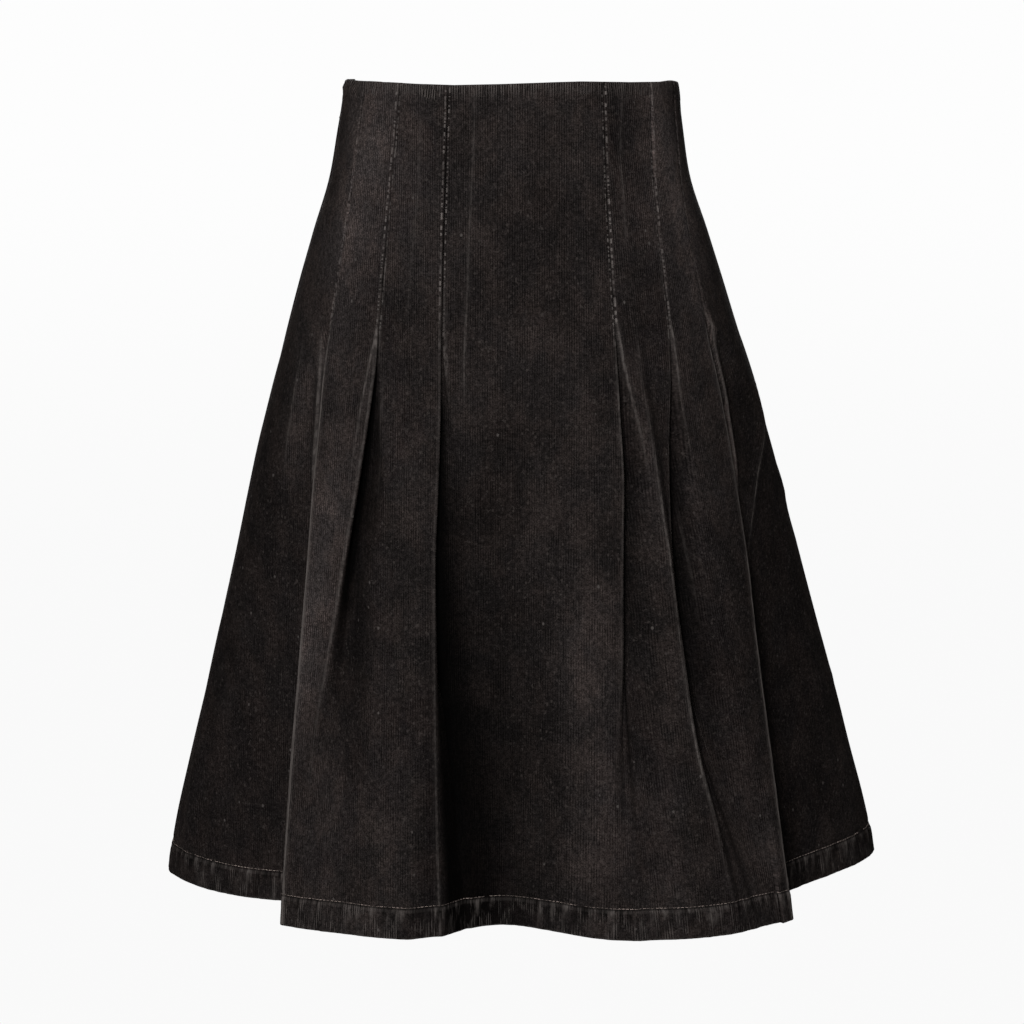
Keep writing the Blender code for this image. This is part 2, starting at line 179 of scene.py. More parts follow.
# Creases, imprints and soft ridges on the panels, each as a path of places with
# its height outwards.  The worn line is the channel that carries it, if there is one.
CREASES = (
    # name, panel, half width to the left, to the right, worn line, path
    ("second ridge by the first pleat", 0, .008, .0028, 0, (
        # drop, x, height, wear
        (.172, -.1358, 0, 0), (.189, -.1380, .0016, .6), (.202, -.1393, .0030, .9), (.221, -.1410, .0044, 1),
        (.239, -.1423, .0056, 1), (.254, -.1436, .0066, .9), (.268, -.1452, .0070, .8),
        (.280, -.1464, .0070, .6), (.295, -.1476, .0060, .4), (.315, -.1490, .0036, .2),
        (.345, -.1510, 0, 0))),
    ("faint side crease", 0, .007, .006, 1, (
        (.180, -.1505, 0, 0), (.194, -.1523, .0006, .3), (.225, -.1578, .0012, .4), (.244, -.1615, .0012, .4),
        (.265, -.1655, .0008, .25), (.295, -.1700, 0, 0))),
    ("roll near the left seam", 0, .012, .016, None, (
        (.440, -.2260, 0, 0), (.484, -.2340, .0024, 0), (.520, -.2400, .0034, 0), (.550, -.2450, .0024, 0),
        (.580, -.2510, 0, 0))),
    ("rolled edge of the second pleat", 1, .003, .002, 0, (
        (.169, -.0960, 0, 0), (.174, -.0966, .0002, .9), (.184, -.0988, .0003, 1), (.197, -.1016, .0004, .9),
        (.212, -.1044, .0004, .8), (.229, -.1076, .0003, .6), (.251, -.1108, .0002, .4),
        (.275, -.1143, 0, .2), (.300, -.1170, 0, 0))),
    ("faint line", 2, .004, .004, 0, (
        (.200, -.0910, 0, 0), (.218, -.0916, .0003, .25), (.243, -.0933, .0003, .3),
        (.271, -.0951, .0003, .25), (.300, -.0965, 0, 0))),
    ("imprint of the second tuck", 2, .002, .004, 1, (
        (.010, -.0640, 0, 0), (.038, -.0654, .0002, .25), (.063, -.0661, .0002, .25),
        (.110, -.0695, .0002, .2), (.159, -.0736, .0001, .1), (.172, -.0745, 0, 0))),
    ("imprint of the third tuck", 3, .002, .004, 0, (
        (.000, -.0260, .0003, .2), (.032, -.0269, .0003, .4), (.067, -.0283, .0003, .35),
        (.109, -.0304, .0003, .4), (.151, -.0317, .0003, .45), (.185, -.0333, .0003, .6),
        (.205, -.0337, .0003, .6), (.215, -.0335, .0002, .3), (.228, -.0332, 0, 0))),
    ("soft fold of the middle", 3, .018, .022, None, (
        (.330, .0330, 0, 0), (.400, .0370, .0020, 0), (.496, .0437, .0036, 0), (.550, .0490, .0032, 0),
        (.589, .0520, .0020, 0))),
    ("imprint of the fourth tuck", 4, .002, .004, 0, (
        (.000, .0784, .0003, .3), (.047, .0770, .0003, .35), (.089, .0798, .0003, .4),
        (.110, .0804, .0002, .2), (.125, .0810, 0, 0))),
    ("pressed crease of the fourth pleat", 4, .0015, .003, 0, (
        (.164, .0742, 0, 0), (.169, .0746, 0, .9), (.180, .0765, .0003, 1), (.193, .0787, .0004, 1),
        (.205, .0810, .0005, 1), (.221, .0845, .0005, .8), (.231, .0868, .0004, .6),
        (.247, .0902, .0003, .45), (.258, .0925, .0002, .3), (.280, .0960, 0, 0))),
    ("ridge by the fifth pleat", 4, .013, .008, 1, (
        (.160, .0870, 0, 0), (.175, .0879, .0010, .1), (.190, .0888, .0020, .2), (.207, .0900, .0030, .25),
        (.223, .0927, .0035, .3), (.242, .0954, .0040, .35), (.266, .0990, .0042, .5),
        (.285, .1016, .0040, .8), (.306, .1045, .0036, 1), (.329, .1082, .0030, 1), (.354, .1114, .0022, .8),
        (.377, .1142, .0015, .7), (.408, .1178, .0008, .6), (.438, .1221, .0004, .5), (.466, .1271, 0, .5),
        (.499, .1358, 0, .3), (.530, .1430, 0, 0))),
    ("pressed crease of the fifth pleat", 5, .0015, .003, 0, (
        (.166, .1132, 0, 0), (.171, .1137, 0, 1), (.181, .1154, .0003, 1), (.194, .1169, .0004, .9),
        (.208, .1186, .0005, .7), (.225, .1207, .0004, .5), (.236, .1226, .0003, .3),
        (.249, .1250, .0002, .15), (.270, .1290, 0, 0))),
    ("faint line beyond the fifth pleat", 5, .003, .003, 1, (
        (.290, .1205, 0, 0), (.305, .1222, .0003, .12), (.335, .1268, .0003, .20), (.360, .1310, .0002, .10),
        (.385, .1345, 0, 0))),
    ("ridge by the last pleat", 6, .0040, .010, 0, (
        (.140, .1330, 0, 0), (.160, .1380, .0006, .3), (.175, .1440, .0020, .8), (.191, .1494, .0036, 1),
        (.208, .1548, .0048, 1), (.225, .1592, .0058, .9), (.244, .1624, .0064, .8), (.267, .1662, .0066, .7),
        (.284, .1690, .0058, .6), (.305, .1722, .0040, .4), (.340, .1765, .0014, .2), (.370, .1790, 0, 0))),
    ("bent crease of the right side", 6, .012, .010, 1, (
        (.185, .1690, 0, 0), (.207, .1740, .0005, .2), (.227, .1788, .0008, .4), (.246, .1832, .0010, .6),
        (.258, .1858, .0012, .9), (.267, .1870, .0014, 1), (.285, .1874, .0017, 1), (.303, .1872, .0018, .9),
        (.320, .1864, .0014, .6), (.335, .1854, .0008, .3), (.360, .1835, 0, 0))),
    ("kink of the right outline", 6, .012, .012, None, (
        (.285, .1970, 0, 0), (.296, .2005, .0008, 0), (.306, .2030, .0012, 0), (.316, .2055, .0002, 0),
        (.326, .2080, -.0007, 0), (.345, .2120, 0, 0))),
    ("slanting roll of the right side", 6, .010, .014, None, (
        (.445, .2430, 0, 0), (.462, .2420, .0016, 0), (.477, .2390, .0020, 0), (.495, .2330, .0014, 0),
        (.515, .2270, 0, 0))),
    ("drag left of the back's middle", BACK_PANEL, .016, .010, 0, (
        (.060, .0380, 0, 0), (.120, .0430, .0018, .15), (.210, .0520, .0026, .25), (.300, .0580, .0016, .2),
        (.370, .0610, 0, 0))),
    ("drag right of the back's middle", BACK_PANEL, .011, .017, 0, (
        (.050, -.0250, 0, 0), (.110, -.0320, .0020, .2), (.180, -.0400, .0022, .2), (.260, -.0450, .0010, .1),
        (.300, -.0470, 0, 0))),
    ("long drag of the back", BACK_PANEL, .020, .014, 1, (
        (.090, -.0860, 0, 0), (.170, -.1050, .0022, .2), (.260, -.1230, .0030, .3), (.350, -.1400, .0018, .2),
        (.430, -.1520, 0, 0))),
    ("short drag of the back", BACK_PANEL, .012, .012, 1, (
        (.130, .0980, 0, 0), (.190, .1080, .0020, .2), (.250, .1180, .0024, .2), (.310, .1260, 0, 0))),
)

# Flutes: waves that open towards the hem, by their place round the ring
FLUTE_START = 0.16
FLUTE_POWER = 1.3
FLUTES = (
    # angle, half width in degrees, height outwards at the hem
    (22.0, 15.0, -0.024),
    (42.0, 16.0, 0.015),
    (63.0, 15.0, -0.038),
    (88.0, 18.0, 0.017),
    (112.0, 15.0, -0.042),
    (136.0, 16.0, 0.016),
    (157.0, 14.0, -0.026),
    (258.0, 5.0, -0.012),
    (272.5, 16.0, -0.035),
    (301.0, 26.0, 0.012),
)

# Back: an elastic in a casing gathers the top edge
GATHERS = 13
GATHER_HEIGHT = 0.0058
GATHER_ENDS = 14          # one over twice the share of the width where they fade by each seam
GATHER_WANDER = 0.010     # how far they stray from an even spacing
GATHER_UNEVEN = 0.35      # how much their depths differ
GATHER_FADE = 0.7         # and their lengths
GATHER_DROPS = (0.0, 0.030, 0.070, 0.120, 0.170, 0.589)
GATHER_SHARES = (1.0, 1.0, 0.62, 0.25, 0.0, 0.0)
BACK_COLUMNS = 221
CASING_WALL = 0.0026
CASING_INWARD = 0.0080    # its middle, just inside the back's gathers
CASING_WAVE = 0.0009      # how far its own gathers stand in
CASING_MARGIN = 0.004     # from each side seam
CASING_COLUMNS = 420
CASING_RIPPLES = 31
CASING_SEWING = (0.0050, 0.0265)
CASING_DROPS = (0.0034, 0.0042, 0.0050, 0.0058, 0.0080, 0.0115, 0.0155, 0.0195,
                0.0230, 0.0255, 0.0265, 0.0275, 0.0280)

# Top edge and hem are not quite level
TOP_RISES = (
    # angle, rise
    (184.5, .0036), (189.0, .0034), (202.0, .0025), (214.0, .0019), (222.0, .0013), (230.0, .0007),
    (236.0, .0001), (250.0, -.0008), (266.0, -.0001), (276.0, .0006), (285.0, .0013), (294.0, .0018),
    (315.0, .0013), (335.0, .0017), (344.0, .0026), (352.0, .0020), (360.0, .0008), (364.5, .0001),
    (380.0, -.0010), (450.0, -.0015), (520.0, -.0005), (536.0, .0014), (544.5, .0036),
)
HEM_RISES = (
    # angle, half width, rise
    (184.0, 26.0, 0.0030),
    (364.0, 52.0, 0.0130),
)
TOP_BAND = 0.0145         # height of the turned band at the waist
BAND_RISE = 0.0004        # how much thicker it is
EAR_HEIGHT = 0.0007       # how far the corners bulge by the side seams
EAR_PLACE = 0.005
EAR_REACH = 0.014
EAR_DROP = 0.006
EAR_HALF = 0.011

# Side seams: each edge rolls in and its allowance lies inside
SEAM_EDGE = (
    # arc from the seam, inward
    (0.0009, 0.0070),
    (0.0007, 0.0022),
    (0.0014, 0.0007),
    (0.0030, 0.0001),
)

# Places where the cloth is painted lighter or darker by a gain; the middle panel's valley gets painted shade
TONE_AND_SHADE_PATCHES = (
    # place, angle, drop, half angle, half drop, gain
    ("left hip", 216.0, 0.070, 32.0, 0.160, 2.50),
    ("left of the first pleat", 212.0, 0.235, 9.0, 0.120, 1.60),
    ("strip between the first two pleats", 227.0, 0.350, 12.0, 0.240, 2.80),
    ("left side", 198.0, 0.430, 22.0, 0.250, 0.84),
    # painted shade: the middle panel's valley and the cloth low in the middle
    ("valley of the middle panel", 263.0, 0.430, 15.0, 0.320, 0.56),
    ("middle, low", 270.0, 0.500, 30.0, 0.220, 0.74),
    ("middle, right of its valley", 284.0, 0.440, 8.0, 0.220, 1.60),
    ("right hip", 331.0, 0.070, 26.0, 0.170, 2.90),
    ("above the last pleats", 317.0, 0.245, 12.0, 0.100, 1.60),
    ("between the last pleats", 309.0, 0.430, 10.0, 0.150, 0.80),
    ("below the last pleats", 314.0, 0.520, 10.0, 0.110, 1.30),
    ("right of the last pleat", 330.0, 0.280, 9.0, 0.140, 2.90),
    ("right side", 346.0, 0.300, 16.0, 0.160, 0.78),
    ("right side, low", 342.0, 0.500, 14.0, 0.140, 0.72),
    ("back, left of its middle", 70.0, 0.150, 30.0, 0.200, 1.35),
    ("back, right side", 120.0, 0.350, 35.0, 0.250, 0.80),
)
TONE = 0.93               # the dye's depth in the whole

# Rows, coarse from the waist down and fine along the hem
FINE_START = 0.556
ROW_SPANS = (
    # from, to, rows
    (0.0012, 0.0145, 6),
    (0.0145, 0.160, 20),
    (0.160, 0.200, 14),
    (0.200, 0.300, 20),
    (0.300, FINE_START, 34),
)
HEM_ROWS = (0.5585, 0.561, 0.5635, 0.5655, 0.567, 0.5685, 0.571, 0.574, 0.577, 0.580, 0.583, 0.586, 0.5878)
HEM_PICKS = (0, 3, 6, 8)  # rows up from the hem that its turned-in layer follows
RING_STEPS = 1440
SEAM_SAMPLES = 20         # steps by the side seams where x doesn't tell front from back
FAR = 0.1                 # stands for "nowhere near" in the distances for the material

# Noises of the cloth's form
BROAD_PUFF = (0.050, 0.16, 1.7)       # size along, size down, seed
SMALL_PUFF = (0.019, 0.060, 4.9)
BROAD_PUCKER = (0.0058, 0.030, 3.1)
NARROW_PUCKER = (0.0028, 0.018, 8.4)
SLANTED_PUCKER = (0.005, 0.02, 12.2)
WAIST_PUCKER = (0.006, 0.018, 14.8)
PUFF_HEIGHTS = (0.0013, 0.00045)      # broad and small
PUFF_START = 0.05         # drop where they have their full height
HEM_GROOVE = 0.0007       # depth of the stitched groove above the hem
HEM_THICKER = 0.0003      # how far the turned-up band stands out
HEM_PUCKER = 0.0007       # height of its puckers
WAIST_PUCKERS = (0.0026, 0.0005)      # by the left side seam, and everywhere
CREST_SCALE = 0.004       # relief that counts as a full crest, painted lighter on crests and darker in hollows: partly wear, partly painted light and shade


def smooth_value(stops, values, place):
    """Monotone cubic through the values, so nothing overshoots between stops."""
    stops = np.asarray(stops, dtype=float)
    values = np.asarray(values, dtype=float)
    place = min(max(place, stops[0]), stops[-1])
    spans = np.diff(stops)
    slopes = np.diff(values) / spans
    tangents = np.concatenate(([slopes[0]], 0.5 * (slopes[:-1] + slopes[1:]), [slopes[-1]]))
    for index, slope in enumerate(slopes):
        limit = 3.0 * abs(slope)
        for end in (index, index + 1):
            same_way = tangents[end] * slope > 0.0
            tangents[end] = math.copysign(min(abs(tangents[end]), limit), slope) if same_way else 0.0
    index = min(int(np.searchsorted(stops, place, side="right")) - 1, len(spans) - 1)
    part = (place - stops[index]) / spans[index]
    rise = values[index + 1] - values[index]
    start = tangents[index] * spans[index]
    end = tangents[index + 1] * spans[index]
    cubic = start + end - 2.0 * rise
    square = 3.0 * rise - 2.0 * start - end
    return float(values[index] + part * (start + part * (square + part * cubic)))


def ease(part):
    """Smooth step from 0 to 1."""
    part = np.clip(part, 0.0, 1.0)
    return part * part * (3.0 - 2.0 * part)


def bump(part):
    """Rounded hill: 1 at the middle, 0 at and beyond a distance of 1."""
    return np.where(np.abs(part) < 1.0, np.cos(0.5 * math.pi * np.clip(part, -1.0, 1.0)) ** 2, 0.0)


def bell(distance, width):
    return np.exp(-(distance / width) ** 2)


def round_gap(angle, centre):
    """Difference of two angles in degrees, the short way round."""
    return (angle - centre + 180.0) % 360.0 - 180.0


def soft_noise(x, y, seed):
    """Smooth noise from -1 to 1 at each pair of places."""
    x, y = np.broadcast_arrays(x, y)
    return np.array([noise.noise((a, b, seed)) for a, b in zip(x, y)])


def cloth_noise(along, drop, grains):
    """Smooth noise that belongs to the cloth, by its sizes and seed."""
    size_along, size_down, seed = grains
    return soft_noise(along / size_along, drop / size_down, seed)


class Ring:
    """The level outline at one drop, from the left side seam round by the front."""

    def __init__(self, drop):
        self.drop = drop
        table = np.array(RING_ROWS)
        left, right, front, back = [smooth_value(table[:, 0], table[:, column], drop)
                                    for column in (1, 2, 3, 4)]
        self.angles = 180.0 + SIDE_TURN + np.linspace(0.0, 360.0, RING_STEPS + 1)
        cosines = np.cos(np.radians(self.angles))
        sines = np.sin(np.radians(self.angles))
        half_widths = np.where(cosines < 0.0, left, right)
        half_depths = np.where(sines < 0.0, front, back)
        self.points = np.column_stack((half_widths * cosines, half_depths * sines))
        outward = np.column_stack((cosines / half_widths, sines / half_depths))
        self.outward = outward / np.linalg.norm(outward, axis=1)[:, None]
        steps = np.linalg.norm(np.diff(self.points, axis=0), axis=1)
        self.arcs = np.concatenate(([0.0], np.cumsum(steps)))
        self.right_seam = self.arcs[RING_STEPS // 2]
        self.length = self.arcs[-1]

    def arc_at_x(self, x):
        """Arc position on the front of the ring with this x."""
        front = slice(SEAM_SAMPLES, RING_STEPS // 2 - SEAM_SAMPLES)
        return float(np.interp(x, self.points[front, 0], self.arcs[front]))

    def back_arc_at_x(self, x):
        """Arc position on the back of the ring with this x."""
        back = slice(RING_STEPS // 2 + SEAM_SAMPLES, RING_STEPS - SEAM_SAMPLES)
        return float(np.interp(-x, -self.points[back, 0], self.arcs[back]))

    def x_at(self, arcs):
        return np.interp(arcs, self.arcs, self.points[:, 0])

    def angle_at(self, arc):
        return np.interp(arc, self.arcs, self.angles)

    def place(self, arc, inward):
        """Plan points at arc positions, moved inwards from the ring."""
        point, outward = [np.column_stack([np.interp(arc, self.arcs, table[:, axis]) for axis in (0, 1)])
                          for table in (self.points, self.outward)]
        return point - np.asarray(inward)[:, None] * outward


def flute_height(drop, angle):
    """How far the flutes push the cloth outwards."""
    growth = max(0.0, (drop - FLUTE_START) / (HEM_DROP - FLUTE_START)) ** FLUTE_POWER
    return growth * sum(height * bump(round_gap(angle, centre) / half_width)
                        for centre, half_width, height in FLUTES)


def height_at(drop, angle):
    """Height of the cloth, with the uneven top edge and hem."""
    share = drop / HEM_DROP
    table = np.array(TOP_RISES)
    top = np.interp((angle - TOP_RISES[0][0]) % 360.0 + TOP_RISES[0][0], table[:, 0], table[:, 1])
    low = sum(rise * bump(round_gap(angle, centre) / half_width) for centre, half_width, rise in HEM_RISES)
    return top * (1.0 - share) ** 4 + low * share - drop


def stitched_share(drop):
    """1 where the pleats are stitched down, 0 where they are open."""
    return float(1.0 - ease((drop - RELEASE + 0.006) / 0.010))


# ---------------------------------------------------------------- pleats


def rounded_pair(approach, first, second, leave, radius):
    """Corner points of an outline round two neighbouring corners."""
    approach, first, second, leave = [np.array(corner) for corner in (approach, first, second, leave)]
    start = first + (approach - first) * min(0.4, radius / np.linalg.norm(approach - first))
    end = second + (leave - second) * min(0.4, radius / np.linalg.norm(leave - second))
    return [start, first, second, end]


def smooth_outline(corners, spans, end_spans):
    """Points of the quadratic curve that a control outline guides."""
    corners = np.array(corners)
    middles = 0.5 * (corners[:-1] + corners[1:])
    shares = np.arange(end_spans)[:, None] / end_spans
    points = [corners[0] + (middles[0] - corners[0]) * shares]
    parts = np.arange(spans)[:, None] / spans
    for index in range(1, len(corners) - 1):
        start, corner, end = middles[index - 1], corners[index], middles[index]
        points.append((1 - parts) ** 2 * start + 2 * parts * (1 - parts) * corner + parts ** 2 * end)
    points.append(middles[-1] + (corners[-1] - middles[-1]) * shares)
    points.append(corners[-1:])
    return np.vstack(points)


class Fold:
    """One pleat's measures and outline at one level."""

    def __init__(self, pleat, ring, fine):
        def at_level(key):
            return smooth_value(PLEAT_DROPS, pleat.get(key, NONE_AT_ALL), ring.drop)

        overlap = at_level("overlap")
        self.step = at_level("step")
        self.reach = at_level("reach")
        self.edge_wear = at_level("edge_wear")
        self.mate_wear = at_level("mate_wear")
        self.dash = pleat["dash"] * stitched_share(ring.drop)
        opened = float(ease((self.step - PRESSED_STEP) / (OPENED_STEP - PRESSED_STEP)))
        self.gap = max(at_level("gap"), 1e-5)
        dark = at_level("dark")
        self.inside_dye_and_shade = pleat.get("inside_dye_and_shade", INSIDE_DYE_AND_SHADE * dark) * opened
        self.gap_shade = GAP_SHADE * dark
        self.over_left = pleat["over"] == "left"
        self.forward = 1.0 if self.over_left else -1.0
        self.straight = pleat.get("straight", 0.0)
        self.late = pleat.get("late", 0.0)
        crisp_from, crisp_to = CRISP_DROPS
        self.crisp = float(1.0 - ease((ring.drop - crisp_from) / (crisp_to - crisp_from)))
        self.edge = ring.arc_at_x(at_level("edge_x"))
        self.sink = 0.0
        self.crest = self.edge - self.forward * EDGE_LEAD
        lead = EDGE_LEAD
        if "crest_x" in pleat:
            self.sink = at_level("sink")
            self.crest = ring.arc_at_x(at_level("crest_x"))
            lead = min(EDGE_LEAD, ROLL_LEAD * (self.edge - self.crest))
        width = min(smooth_value(PLEAT_DROPS, EDGE_WIDTHS, ring.drop), 0.5 * (self.step - self.sink))
        inner = self.edge - self.forward * overlap
        spread = OPEN_SPREAD * max(0.0, -overlap)
        self.lower = self.edge if overlap > 0.0 else inner + self.forward * OPEN_LEAD
        start = self.edge - self.forward * lead
        approach = (start, float(self.rolled(start)))
        leave = (self.lower, self.step)
        first = (self.edge, self.sink)
        second = (self.edge + self.forward * spread, self.sink + width)
        third = (inner - self.forward * spread, self.step - width)
        fourth = (inner, self.step)
        radius = 0.5 * (width + spread)
        corners = [approach] + rounded_pair(approach, first, second, third, radius)
        corners += rounded_pair(second, third, fourth, leave, radius) + [leave]
        self.points = smooth_outline(corners, FOLD_COLUMNS * fine, fine)

    def rolled(self, arc):
        """How far the top layer has sunk between its crest and its edge."""
        return self.sink * ease(self.forward * (arc - self.crest) / abs(self.edge - self.crest))

    def kept_dye_and_painted_shade(self, sunk_share, beyond):
        """Lightness left inside the pleat and just beyond it: painted shade, with the dye the fold keeps."""
        shade = self.gap_shade * ease(sunk_share / SHADE_START) * (1.0 - ease(beyond / self.gap))
        return 1.0 - np.maximum(self.inside_dye_and_shade * sunk_share, shade)

    def depth(self, arc):
        """How deep the lower layer lies beyond the fold."""
        part = np.clip(self.forward * (arc - self.lower) / self.reach, 0.0, 1.0)
        soft = ease(part)
        if self.late:
            return self.step * (1.0 - ease(part ** self.late))
        if self.straight:
            return self.step * (1.0 - self.straight * part - (1.0 - self.straight) * soft)
        return self.step * (1.0 - self.crisp * part ** CRISP_POWER - (1.0 - self.crisp) * soft)


def panel_arcs(start, end, spans, fine, fold, graded):
    """Arc positions between two places, both left out.

    Where the panel comes out from beneath a fold it starts there, with more
    columns over the stretch where it rises to the ring, or graded all the way.
    """
    columns = spans * fine
    if fold is None:
        return start + (end - start) * np.arange(1, columns) / columns
    if graded:
        return start + (end - start) * (np.arange(1, columns) / columns) ** GRADING
    near = start + fold.forward * min(fold.reach, 0.5 * abs(end - start))
    rises = REACH_COLUMNS * fine
    rise = start + (near - start) * np.arange(1, rises) / rises
    rest = near + (end - near) * np.arange(columns) / columns
    return np.concatenate((rise, rest))


# ---------------------------------------------------------------- sections

PLAIN = dict(top=FAR, low=FAR, top_dash=0.0, low_dash=0.0, edge_wear=0.0, mate_wear=0.0)
# wash: how light the cloth is left, by the painted shade and kept dye of the folds
FIELD_RESTS = dict(PLAIN, inward=0.0, panel=HIDDEN, wash=1.0)


class Section:
    """One level's profile: arcs, inward distances and marks for the material."""

    def __init__(self):
        self.stretches = []

    def add(self, arcs, **values):
        arcs = np.atleast_1d(np.asarray(arcs, dtype=float))
        stretch = {field: np.broadcast_to(np.asarray(values.get(field, rest), dtype=float), arcs.shape)
                   for field, rest in FIELD_RESTS.items()}
        self.stretches.append({"arcs": arcs, **stretch})

    def joined(self):
        return {field: np.concatenate([stretch[field] for stretch in self.stretches])
                for field in self.stretches[0]}


def add_fold(section, fold, panel):
    """A fold's outline.  panel is the panel whose edge lies on top."""
    points = fold.points if fold.over_left else fold.points[::-1]
    arcs, inward = points[:, 0], points[:, 1]
    above = fold.forward * np.minimum(fold.forward * arcs, fold.forward * fold.edge)
    sunk = np.maximum(0.0, inward - fold.rolled(above))
    ahead = fold.forward * (fold.edge - arcs)
    on_top = np.clip(1.0 - sunk / TOP_DEPTH, 0.0, 1.0)
    # painted shade and kept dye darken the fold's outline
    wash = fold.kept_dye_and_painted_shade(np.clip(sunk / (fold.step - fold.sink), 0.0, 1.0), np.maximum(0.0, -ahead))
    leave = np.zeros(len(arcs))
    leave[-1 if fold.over_left else 0] = 1.0
    section.add(arcs, inward=inward, panel=np.where((ahead > 0.0) & (sunk < LEVEL_DEPTH), panel, HIDDEN),
                top=ahead - sunk, low=-np.hypot(fold.lower - arcs, fold.step - inward),
                top_dash=fold.dash * on_top, low_dash=fold.dash * leave,
                edge_wear=fold.edge_wear * on_top, mate_wear=fold.mate_wear * leave, wash=wash)


def add_panel(section, arcs, panel, under, tops):
    """Columns of a panel that comes out under one fold and ends on others."""
    inward = np.zeros(len(arcs))
    low, low_dash, mate_wear, wash = FAR, 0.0, 0.0, 1.0
    if under:
        inward = under.depth(arcs)
        low = under.forward * (arcs - under.lower)
        # painted shade and kept dye darken the panel where it comes out from under the fold
        wash = under.kept_dye_and_painted_shade(inward / under.step, under.forward * (arcs - under.edge))
        low_dash = under.dash
        mate_wear = under.mate_wear * bell(low - under.reach, MATE_WIDTH)
    top = np.full(len(arcs), FAR)
    top_dash = np.zeros(len(arcs))
    edge_wear = np.zeros(len(arcs))
    for fold in tops:
        ahead = fold.forward * (fold.edge - arcs)
        nearer = ahead < top
        top = np.where(nearer, ahead, top)
        top_dash = np.where(nearer, fold.dash, top_dash)
        edge_wear = np.where(nearer, fold.edge_wear, edge_wear)
        inward = inward + fold.rolled(arcs)
    section.add(arcs, inward=inward, panel=panel, top=top, low=low, top_dash=top_dash, low_dash=low_dash,
                edge_wear=edge_wear, mate_wear=mate_wear, wash=wash)


def add_seam_edge(section, seam, inwards, fine, panel):
    """The rolled edge at a side seam.  inwards is +1 where the panel starts there."""
    table = np.array(SEAM_EDGE)
    if fine > 1:
        order = np.empty((2 * len(table) - 1, 2))
        order[0::2] = table
        order[1::2] = 0.5 * (table[:-1] + table[1:])
        last = 0.5 * (table[-1] + np.array((SEAM_LEAD, 0.0)))
        table = np.vstack((order, last))
    if inwards < 0:
        table = table[::-1]
    section.add(seam + inwards * table[:, 0], inward=table[:, 1], panel=panel)


def front_section(ring, fine):
    """The front from the left side seam to the right one."""
    folds = [Fold(pleat, ring, fine) for pleat in PLEATS]
    left_end = SEAM_LEAD
    right_end = ring.right_seam - SEAM_LEAD
    last = len(PLEATS)
    folds[0].reach = min(folds[0].reach, folds[0].lower - left_end)
    folds[-1].reach = min(folds[-1].reach, right_end - folds[-1].lower)
    section = Section()
    add_seam_edge(section, 0.0, 1.0, fine, 0)
    section.add(left_end, panel=0)
    left_arcs = panel_arcs(folds[0].lower, left_end, PANEL_COLUMNS[0], fine, folds[0], True)
    add_panel(section, left_arcs[::-1], 0, folds[0], ())
    add_fold(section, folds[0], 1)
    arcs = panel_arcs(folds[0].points[0][0], folds[1].points[0][0], PANEL_COLUMNS[1], fine, None, False)
    add_panel(section, arcs, 1, None, folds[:2])
    add_fold(section, folds[1], 1)
    for index in range(2, last):
        under, over = folds[index - 1], folds[index]
        arcs = panel_arcs(under.lower, over.points[0][0], PANEL_COLUMNS[index], fine, under, False)
        add_panel(section, arcs, index, under, (over,))
        add_fold(section, over, index)
    arcs = panel_arcs(folds[-1].lower, right_end, PANEL_COLUMNS[last], fine, folds[-1], True)
    add_panel(section, arcs, last, folds[-1], ())
    section.add(right_end, panel=last)
    add_seam_edge(section, ring.right_seam, -1.0, fine, last)
    return section.joined()


def back_section(ring, fine):
    """The back from the right side seam to the left one, gathered at its top."""
    section = Section()
    add_seam_edge(section, ring.right_seam, 1.0, fine, BACK_PANEL)
    start = ring.right_seam + SEAM_LEAD
    end = ring.length - SEAM_LEAD
    parts = np.linspace(0.0, 1.0, (BACK_COLUMNS - 1) * fine + 1)
    wave = GATHERS * (parts + GATHER_WANDER * np.sin(2.0 * math.pi * 2.3 * parts) * np.sin(math.pi * parts))
    uneven = soft_noise(wave * 0.83, 0.4, 6.1)
    fade = 1.0 + GATHER_FADE * soft_noise(wave * 0.61, 2.7, 3.3)
    share = np.array([smooth_value(GATHER_DROPS, GATHER_SHARES, ring.drop * slow) for slow in fade])
    depth = 0.5 * GATHER_HEIGHT * share * (1.0 - np.cos(2.0 * math.pi * wave))
    depth = depth * (0.85 + GATHER_UNEVEN * uneven)
    left, right = [np.sin(math.pi * np.clip(share * GATHER_ENDS, 0, 0.5)) for share in (parts, 1.0 - parts)]
    inward = np.minimum(depth, GATHER_HEIGHT) * (left * right)
    section.add(start + (end - start) * parts, inward=inward, panel=BACK_PANEL)
    add_seam_edge(section, ring.length, -1.0, fine, BACK_PANEL)
    return section.joined()


# ---------------------------------------------------------------- relief


def crease_relief(ring, section):
    """Height that the creases add, with each channel's distance and wear."""
    arcs, panels = section["arcs"], section["panel"]
    height = np.zeros_like(arcs)
    lines = np.full((2, len(arcs)), FAR)
    wears = np.zeros((2, len(arcs)))
    for _, panel, left, right, channel, path in CREASES:
        path = np.array(path)
        here = panels == panel
        if not (path[0, 0] <= ring.drop <= path[-1, 0] and here.any()):
            continue
        x, rise, wear = [smooth_value(path[:, 0], path[:, column], ring.drop) for column in (1, 2, 3)]
        place = ring.back_arc_at_x(x) if panel == BACK_PANEL else ring.arc_at_x(x)
        distance = arcs - place
        half = np.where(distance < 0.0, left, right)
        height += np.where(here, rise * bump(distance / half), 0.0)
        if channel is not None:
            lines[channel] = np.where(here, distance, lines[channel])
            wears[channel] = np.where(here, wear, wears[channel])
    return height, lines, wears


def hem_puckers(drop, along):
    """Puckers of the turned-up hem, from about -1 to 1."""
    slant = along + 0.08 * (drop - HEM_LINE)
    return 1.3 * cloth_noise(slant, drop, BROAD_PUCKER) + 1.1 * cloth_noise(slant, drop, NARROW_PUCKER)


